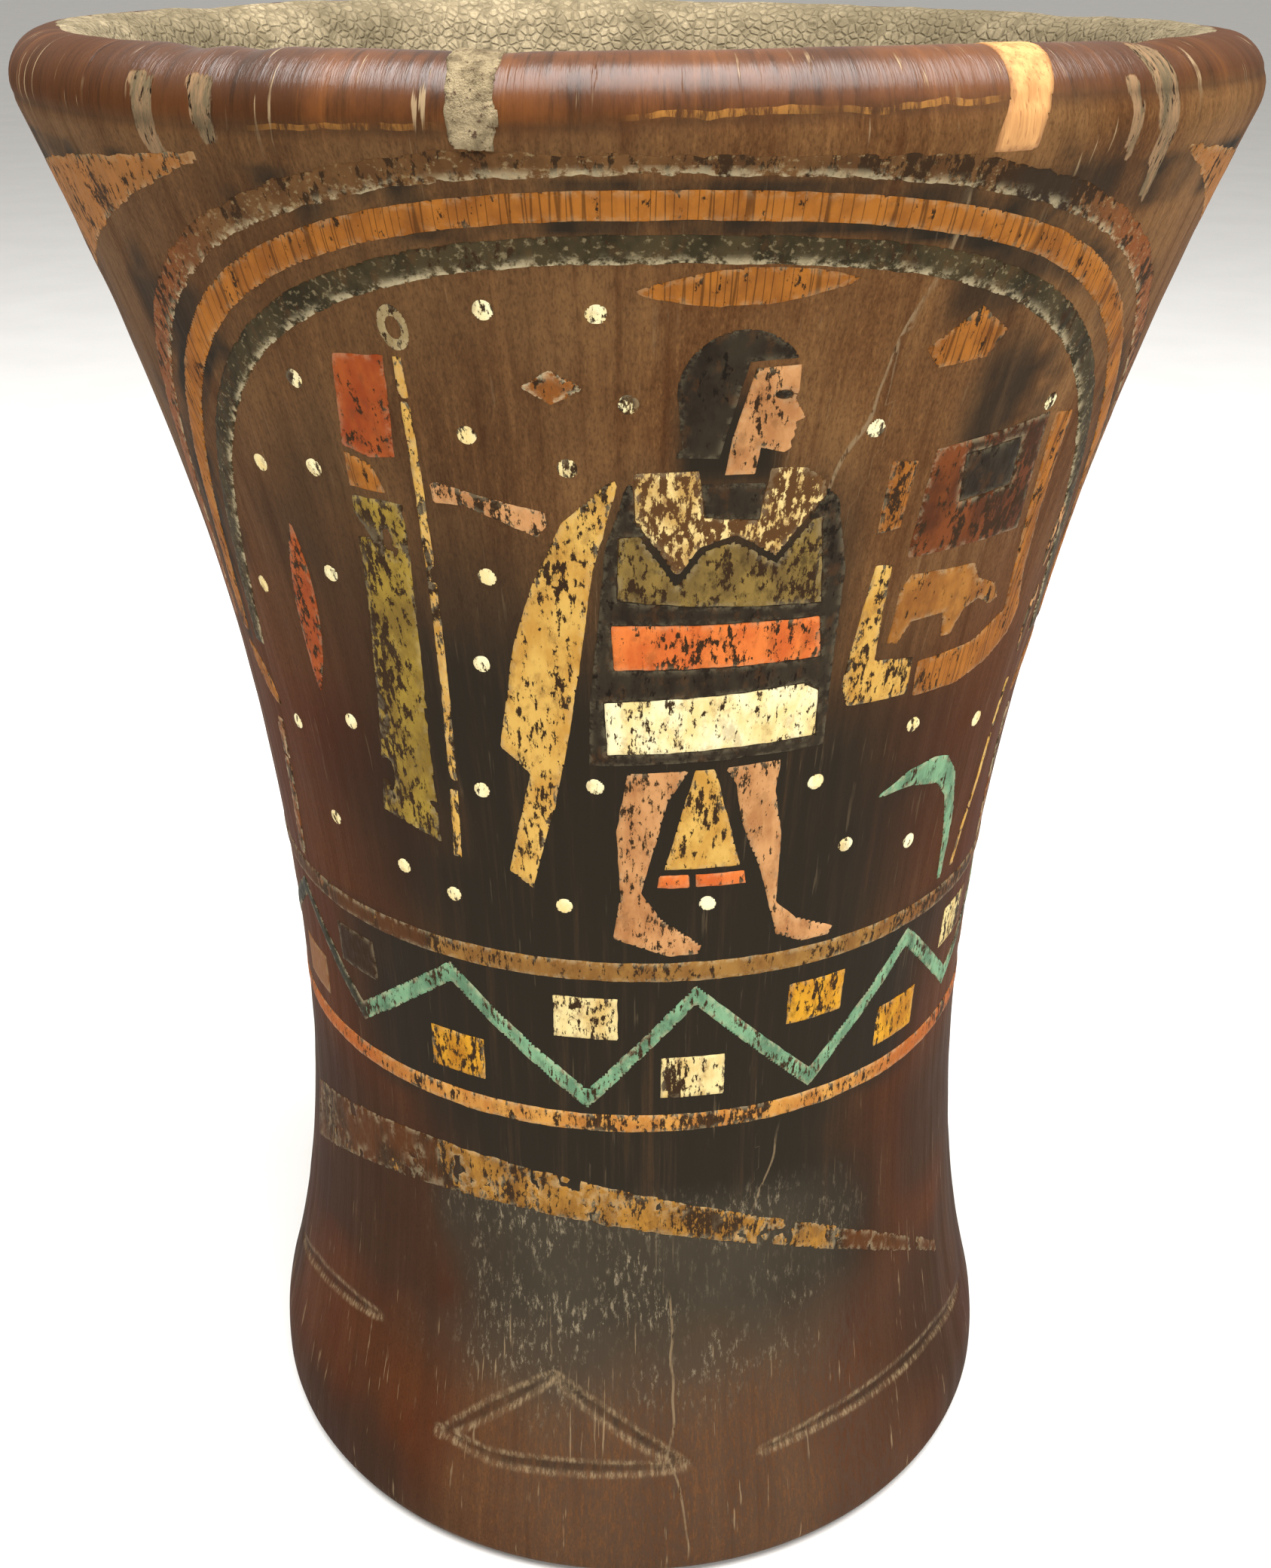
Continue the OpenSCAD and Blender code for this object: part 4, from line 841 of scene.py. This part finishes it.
# how each inlay lies: lift over the wood, ragged edge, share lost in flakes and the flakes' size;
# inner means that only the edge toward the middle of the panel is pale; the rim and its moves are
# shares of a cell, and skinReach is how far off the skin a corner of the outer face may lie
inlayLook = dict(
    lift=0.13, sink=0.45, rag=0.13, ragSize=1.5, loss=0.0, lossSize=2.6, pit=0.05, pitSize=1.3,
    cell=0.36, worn=0.08, inner=False, edgeLift=0.02, leastLift=0.012, rimShare=0.55, moveShare=0.6,
    skinReach=0.55)
inlayChanges = dict(
    arch_ochre_band=dict(rag=0.4, lift=0.04, worn=0.12, inner=True),
    arch_orange_band=dict(rag=0.1, worn=0.02),
    arch_green_band=dict(rag=0.2, worn=0.05, inner=True),
    arch_leg_strips=dict(loss=0.12, lossSize=1.8, rag=0.3, worn=0.3),
    spandrels=dict(rag=0.35, lift=0.04, cell=0.5, worn=0.3),
    foot_stripe=dict(loss=0.03, lossSize=1.8, rag=0.3, lift=0.08, cell=0.42, worn=0.1),
    staff_ring=dict(rag=0.1, cell=0.2, worn=0.1),
    eye=dict(rag=0.03, cell=0.12, ragSize=0.6),
    face=dict(rag=0.04, cell=0.2, worn=0.0),
    hair=dict(rag=0.1, cell=0.26, worn=0.0),
    dots=dict(rag=0.16, cell=0.2, ragSize=1.2, worn=0.04),
    staff=dict(rag=0.1, loss=0.03, lossSize=1.4, cell=0.22, worn=0.2),
    stalk=dict(rag=0.1, loss=0.05, lossSize=1.4, cell=0.22, worn=0.25),
    banner_olive=dict(loss=0.03, rag=0.25),
    collar=dict(worn=0.34), orange_leaf=dict(worn=0.2), plume=dict(rag=0.16), arm=dict(worn=0.2),
    red_leaf=dict(worn=0.2), shield_frame=dict(worn=0.2), shield_bar=dict(worn=0.1),
    shield_corner=dict(worn=0.25), shield_tab=dict(worn=0.3), animal=dict(worn=0.05),
    side_petals=dict(worn=0.3), arch_leg_leaves=dict(worn=0.2),
    feather_lozenge=dict(cell=0.24, rag=0.3, worn=0.25),
    wood_repair=dict(rag=0.06, lift=0.1, cell=0.3),
    filler_repair=dict(lift=0.3, rag=0.45, pit=0.3, pitSize=1.5, cell=0.3))
# the front panel: its middle, the azimuths between which its inlays' middles lie, and its arch
frontPanel = dict(middleAz=4, middleZ=138, fromAz=-94, toAz=86, archR=64, archHalfAz=94)
# places that are worn further: azimuths, heights and how much
wornPlaces = dict(
    foot_stripe=[(-90, -30, 40, 75, 0.6), (35, 90, 0, 60, 0.62)],
    ground_line=[(-180, -27, 90, 100, 0.6), (40, 180, 90, 100, 0.3)],
    lower_band=[(-18, 40, 70, 76, 0.16), (60, 180, 70, 76, 0.2)],
    banner_olive=[(-50, -28, 100, 160, 0.3), (-50, -10, 146, 160, 0.25)],
    dots=[(-70, 60, 160, 190, 0.24)],
    shield_frame=[(33, 50, 150, 166, 0.35)],
    zigzag=[(-76, -46, 74, 96, 0.75), (62, 90, 74, 96, 0.3)],
    ochre_tiles=[(-80, -38, 84, 100, 1.0)],
    cream_tiles=[(64, 100, 70, 100, 0.6), (-100, -58, 70, 100, 0.8)],
    arch_ochre_band=[(27, 38, 178, 194, 0.55)],
    arch_orange_band=[(-80, -58, 120, 160, 0.25), (62, 90, 120, 170, 0.3)])


# outline of a solid's outer face: azimuths and skin lengths of its corners, edges and groups
def outerFace(node):
    mesh = frame["nodes"][node].data
    mesh.calc_loop_triangles()
    co = np.zeros(len(mesh.vertices) * 3, np.float32)
    mesh.vertices.foreach_get("co", co)
    tri = np.zeros(len(mesh.loop_triangles) * 3, np.int32)
    mesh.loop_triangles.foreach_get("vertices", tri)
    corner, same = np.unique(np.round(co.reshape(-1, 3) * 1000, 3), axis=0, return_inverse=True)
    tri = same.reshape(-1)[tri].reshape(-1, 3)
    r = np.hypot(corner[:, 0], corner[:, 1])
    apart = (r[:, None] - skinLine[None, ::2, 0]) ** 2 + (corner[:, 2:] - skinLine[None, ::2, 1]) ** 2
    nearest = apart.argmin(1)
    onSkin = apart[np.arange(len(r)), nearest] < inlayLook["skinReach"] ** 2
    z = corner[:, 2]
    s = np.where(z < lipZ - 1, skinAt(z), skinS[::2][nearest])
    az = np.degrees(np.arctan2(corner[:, 0], -corner[:, 1]))
    tri = tri[onSkin[tri].all(1)]
    label = np.arange(len(corner))
    while True:
        low = label[tri].min(1)
        new = label.copy()
        np.minimum.at(new, tri.ravel(), np.repeat(low, 3))
        new = new[new]
        if (new == label).all():
            break
        label = new
    edges = np.sort(join([tri[:, [0, 1]], tri[:, [1, 2]], tri[:, [2, 0]]]), axis=1)
    edges, count = np.unique(edges, axis=0, return_counts=True)
    edges = edges[count == 1]
    return az, s, edges, label[edges[:, 0]]


# signed distance on a grid to an outline of segments: nearest segment, inside by crossings above
def outlineDistance(u, v, segments):
    best = np.full(u.shape, 1e6)
    crossings = np.zeros(u.shape, int)
    for block in np.array_split(segments, max(1, u.size * len(segments) // 4000000 + 1)):
        x0, y0, x1, y1 = (block[:, i, j] for i in (0, 1) for j in (0, 1))
        px, py = u[..., None] - x0, v[..., None] - y0
        dx, dy = x1 - x0, y1 - y0
        best = np.minimum(best, segmentSquare(px, py, dx, dy).min(-1))
        spans = (x0 > u[..., None]) != (x1 > u[..., None])
        above = y0 + px * dy / np.where(abs(dx) < 1e-9, 1e-9, dx) > v[..., None]
        crossings += (spans & above).sum(-1)
    return np.sqrt(best) * np.where(crossings % 2 == 1, -1, 1)


# what the next column holds: round the ring, or else nothing past the last
def nextColumn(mask, ring):
    return np.roll(mask, -1, 1) if ring else np.pad(mask[:, 1:], ((0, 0), (0, 1)))


# one inlay on the skin: a grid inside the ragged outline, its rim snapped to the edge, made solid
def layInlay(s, outline, around, az, look, seed, ring, places, turn):
    place = ringPoints(skinRadius(s), skinHeight(s), np.radians(az))
    edge = outline + look["rag"] * 2 * (roughNoise(place, look["ragSize"], seed) - 0.5)
    if look["loss"] > 0:
        flakes = roughNoise(place * [1, 1, 0.6], look["lossSize"], seed + 5)
        lost = flakes - np.quantile(flakes, 1 - look["loss"])
        edge = np.maximum(edge, lost * look["lossSize"] * 1.5)
    cell = look["cell"]
    gs, gu = np.gradient(edge, cell)
    if ring:
        gu = (np.roll(edge, -1, 1) - np.roll(edge, 1, 1)) / (2 * cell)
    steep = np.maximum(np.hypot(gs, gu), 0.3)
    rimHalf, most = look["rimShare"] * cell, look["moveShare"] * cell
    move = np.where(abs(edge) < rimHalf, np.clip(edge / steep, -most, most), 0)
    az = az - move * gu / steep / around
    s = s - move * gs / steep
    keep, solid = edge < rimHalf, edge < -rimHalf
    across, solidAcross = nextColumn(keep, ring), nextColumn(solid, ring)
    full = keep[:-1] & keep[1:] & across[:-1] & across[1:]
    full &= solid[:-1] | solid[1:] | solidAcross[:-1] | solidAcross[1:]
    columns = edge.shape[1]
    i, j = np.nonzero(full)
    k = (j + 1) % columns
    row, above = i * columns, (i + 1) * columns
    quads = np.stack([row + j, row + k, above + k, above + j], 1)
    if len(quads) == 0:
        return None
    used, quads = np.unique(quads, return_inverse=True)
    quads = quads.reshape(-1, 4)
    depth = np.maximum(-edge, 0).ravel()[used]
    place = place.reshape(-1, 3)[used]
    az, s = az.ravel()[used], s.ravel()[used]
    lift = look["edgeLift"] + (look["lift"] - look["edgeLift"]) * (1 - np.exp(-depth / 0.3))
    pits = 2 * (roughNoise(place, look["pitSize"], seed + 9) - 0.5)
    lift = lift + look["pit"] * pits * (1 - np.exp(-depth / 0.4))
    wood = woodHeight(az, s)
    top = skinPoint(az, s, wood + np.maximum(lift, look["leastLift"]))
    bottom = skinPoint(az, s, wood - look["sink"])
    sides = join([quads[:, [0, 1]], quads[:, [1, 2]], quads[:, [2, 3]], quads[:, [3, 0]]])
    order = np.sort(sides, axis=1)
    _, first, count = np.unique(order, axis=0, return_index=True, return_counts=True)
    sides = sides[first[count == 1]]
    n = len(used)
    walls = np.stack([sides[:, 0], sides[:, 0] + n, sides[:, 1] + n, sides[:, 1]], 1)
    faces = join([quads, quads[:, ::-1] + n, walls])
    paleEdge = np.exp(-(depth / 0.45) ** 2)
    if look["inner"]:
        upTo = skinAt(frontPanel["middleZ"]) - s
        toMiddle = np.stack([frontPanel["middleAz"] - az, upTo / around], 1)
        toMiddle = toMiddle / np.maximum(np.hypot(toMiddle[:, :1], toMiddle[:, 1:]), 1e-6)
        slope = np.stack([gu.ravel()[used], gs.ravel()[used]], 1)
        paleEdge = np.exp(-(depth / 0.6) ** 2) * eased(0.1, 0.7, (slope * toMiddle).sum(1))
    worn = look["worn"] + 0.9 * (roughNoise(place * [1, 1, 0.5], 4.0, seed + 13) - 0.5)
    z = place[:, 2]
    panelAz = (az - turn + 90) % 360 - 90
    for a0, a1, z0, z1, more in places:
        worn = worn + more * between(panelAz, a0, a1, 4) * between(z, z0, z1, 3)
    values = dict(paleEdge=paleEdge, worn=np.clip(worn, 0, 1), side=eased(32, 50, abs(panelAz)),
                  along=s * 0.001)
    values = {key: np.tile(value, 2) for key, value in values.items()}
    return join([top, bottom]), faces, values


# nodes that the back doesn't repeat half a turn on
singleNodes = (
    "wood_repair", "filler_repair", "ground_line", "lower_band", "zigzag", "cream_tiles",
    "ochre_tiles")


# every inlay of a node: the front ones from their outline, the back ones half a turn on
def layNode(node, seed):
    look = dict(inlayLook, **inlayChanges.get(node, {}))
    az, s, edges, group = outerFace(node)
    allPoints, allFaces, allValues, start = [], [], [], 0
    twice = node not in singleNodes
    for g in np.unique(group):
        mine = edges[group == g]
        mineA = np.radians(az[mine])
        middle = math.degrees(math.atan2(np.sin(mineA).mean(), np.cos(mineA).mean()))
        if twice and not frontPanel["fromAz"] < middle < frontPanel["toAz"]:
            continue
        around = azGap(az[mine], middle)
        ring = around.max() - around.min() > 330
        radius = skinRadius(s[mine].mean()) * math.pi / 180
        cell = look["cell"]
        low, high = s[mine].min() - 3 * cell, s[mine].max() + 3 * cell
        rowS = np.arange(low, high, cell)
        if ring:
            first = around[:, :1]
            around = join([first, first + azGap(around[:, 1:], first)], 1)
            count = int(360 * radius / cell)
            columnU = np.arange(count) * 360 * radius / count - 180 * radius
        else:
            left, right = around.min() * radius, around.max() * radius
            columnU = np.arange(left - 3 * cell, right + 3 * cell, cell)
        segments = np.stack([around * radius, s[mine]], -1)
        if ring:
            shift = np.array([360 * radius, 0])
            segments = join([segments - shift, segments, segments + shift])
        u, v = np.meshgrid(columnU, rowS)
        distance = outlineDistance(u, v, segments)
        for turn in ((0, 180) if twice else (0,)):
            made = layInlay(v, distance, radius, u / radius + middle + turn, look, seed + turn / 10,
                            ring, wornPlaces.get(node, []), turn)
            if made is None:
                continue
            allPoints.append(made[0])
            allFaces.append(made[1] + start)
            allValues.append(made[2])
            start += len(made[0])
    slotName = slotOf[node]
    values = {key: join([part[key] for part in allValues]) for key in allValues[0]}
    addPiece(node + "_inlay", join(allPoints), join(allFaces).tolist(),
             finishes[ownFinish.get(node, slotName)], node, values)


# dark gaps beside the bright band of each arch: from 1 at its edge to 0 a little way off
def archGaps(az, s):
    faceAz, faceS, edges, _ = outerFace("arch_orange_band")
    front = abs(faceAz[edges].mean(1) - frontPanel["middleAz"]) < frontPanel["archHalfAz"]
    radius = frontPanel["archR"] * math.pi / 180
    segments = np.stack([faceAz[edges][front] * radius, faceS[edges][front]], -1)
    panel = (az + 86) % 180 - 86
    near = (s > faceS[edges].min() - 3) & (s < faceS[edges].max() + 3)
    gap = np.zeros(az.shape)
    gap[near] = eased(1.9, 0.8, outlineDistance(panel[near] * radius, s[near], segments))
    return gap


makeBody(makeWood())
print("cup turned")
for number, node in enumerate(sorted(frame["nodes"])):
    if node not in ("cup_body", "inner_coating"):
        layNode(node, 100.0 + 7 * number)
print("inlays laid")

studio = dict(
    floor=tint(240, 238, 234), mottle=tint(228, 226, 222), sky=(1.0, 0.985, 0.96, 1.0),
    skyStrength=0.5,
    key=(0.7, -0.85, 0.7, 1.5, 1.5, 8.5), fill=(-0.9, -0.75, 0.45, 0.8, 0.8, 0.4),
    top=(0.02, -0.18, 0.9, 1.3, 0.7, 21.0), aimZ=0.11, floorHalf=16.0, floorCells=8, floorZ=-0.0004)


# floor: a wide flat grid under the cup
def makeFloor():
    material = newFinish("paleFloor", Roughness=0.7)
    mottle = grain(20, 20, 3.0, 0.5)
    c = blend(mottle, studio["floor"], studio["mottle"])
    feed("Base Color", c)
    n = studio["floorCells"]
    line = np.linspace(-studio["floorHalf"], studio["floorHalf"], n + 1)
    x, y = np.meshgrid(line, line)
    points = np.stack([x.ravel(), y.ravel(), np.full(x.size, studio["floorZ"])], 1)
    i, j = np.meshgrid(np.arange(n), np.arange(n), indexing="ij")
    corner = (i * (n + 1) + j).ravel()
    faces = np.stack([corner, corner + 1, corner + n + 2, corner + n + 1], 1).tolist()
    mesh = bpy.data.meshes.new("floor")
    mesh.from_pydata(points.tolist(), [], faces)
    mesh.materials.append(material)
    floor = bpy.data.objects.new("floor", mesh)
    scene.collection.objects.link(floor)


def addLamp(name, x, y, z, width, depth, power):
    lamp = bpy.data.lights.new(name, "AREA")
    lamp.shape = "ELLIPSE"
    lamp.size = width
    lamp.size_y = depth
    lamp.energy = power
    lampObject = bpy.data.objects.new(name, lamp)
    lampObject.location = (x, y, z)
    aim = Vector((0, 0, studio["aimZ"])) - lampObject.location
    lampObject.rotation_euler = aim.to_track_quat("-Z", "Y").to_euler()
    scene.collection.objects.link(lampObject)


makeFloor()
for name in ("key", "fill", "top"):
    addLamp(name, *studio[name])
world = bpy.data.worlds.new("studioSky")
world.use_nodes = True
world.node_tree.nodes["Background"].inputs["Color"].default_value = studio["sky"]
world.node_tree.nodes["Background"].inputs["Strength"].default_value = studio["skyStrength"]
scene.world = world
scene.view_settings.view_transform = "Standard"

# camera where the picture was taken: place in metres, angles in degrees
view = dict(place=(0.0, -0.2273, 0.2087), tiltDown=26.10, turn=-0.11, roll=0.32, lens=39.65)
camera = bpy.data.cameras.new("camera")
camera.lens = view["lens"]
camera.sensor_width = 36.0
camera.clip_start = 0.01
cameraObject = bpy.data.objects.new("camera", camera)
turned = Euler((math.radians(90 - view["tiltDown"]), 0, math.radians(view["turn"]))).to_matrix()
turned = turned @ Matrix.Rotation(math.radians(view["roll"]), 3, "Z")
cameraObject.matrix_world = Matrix.Translation(view["place"]) @ turned.to_4x4()
scene.collection.objects.link(cameraObject)
scene.camera = cameraObject
print("studio lit")
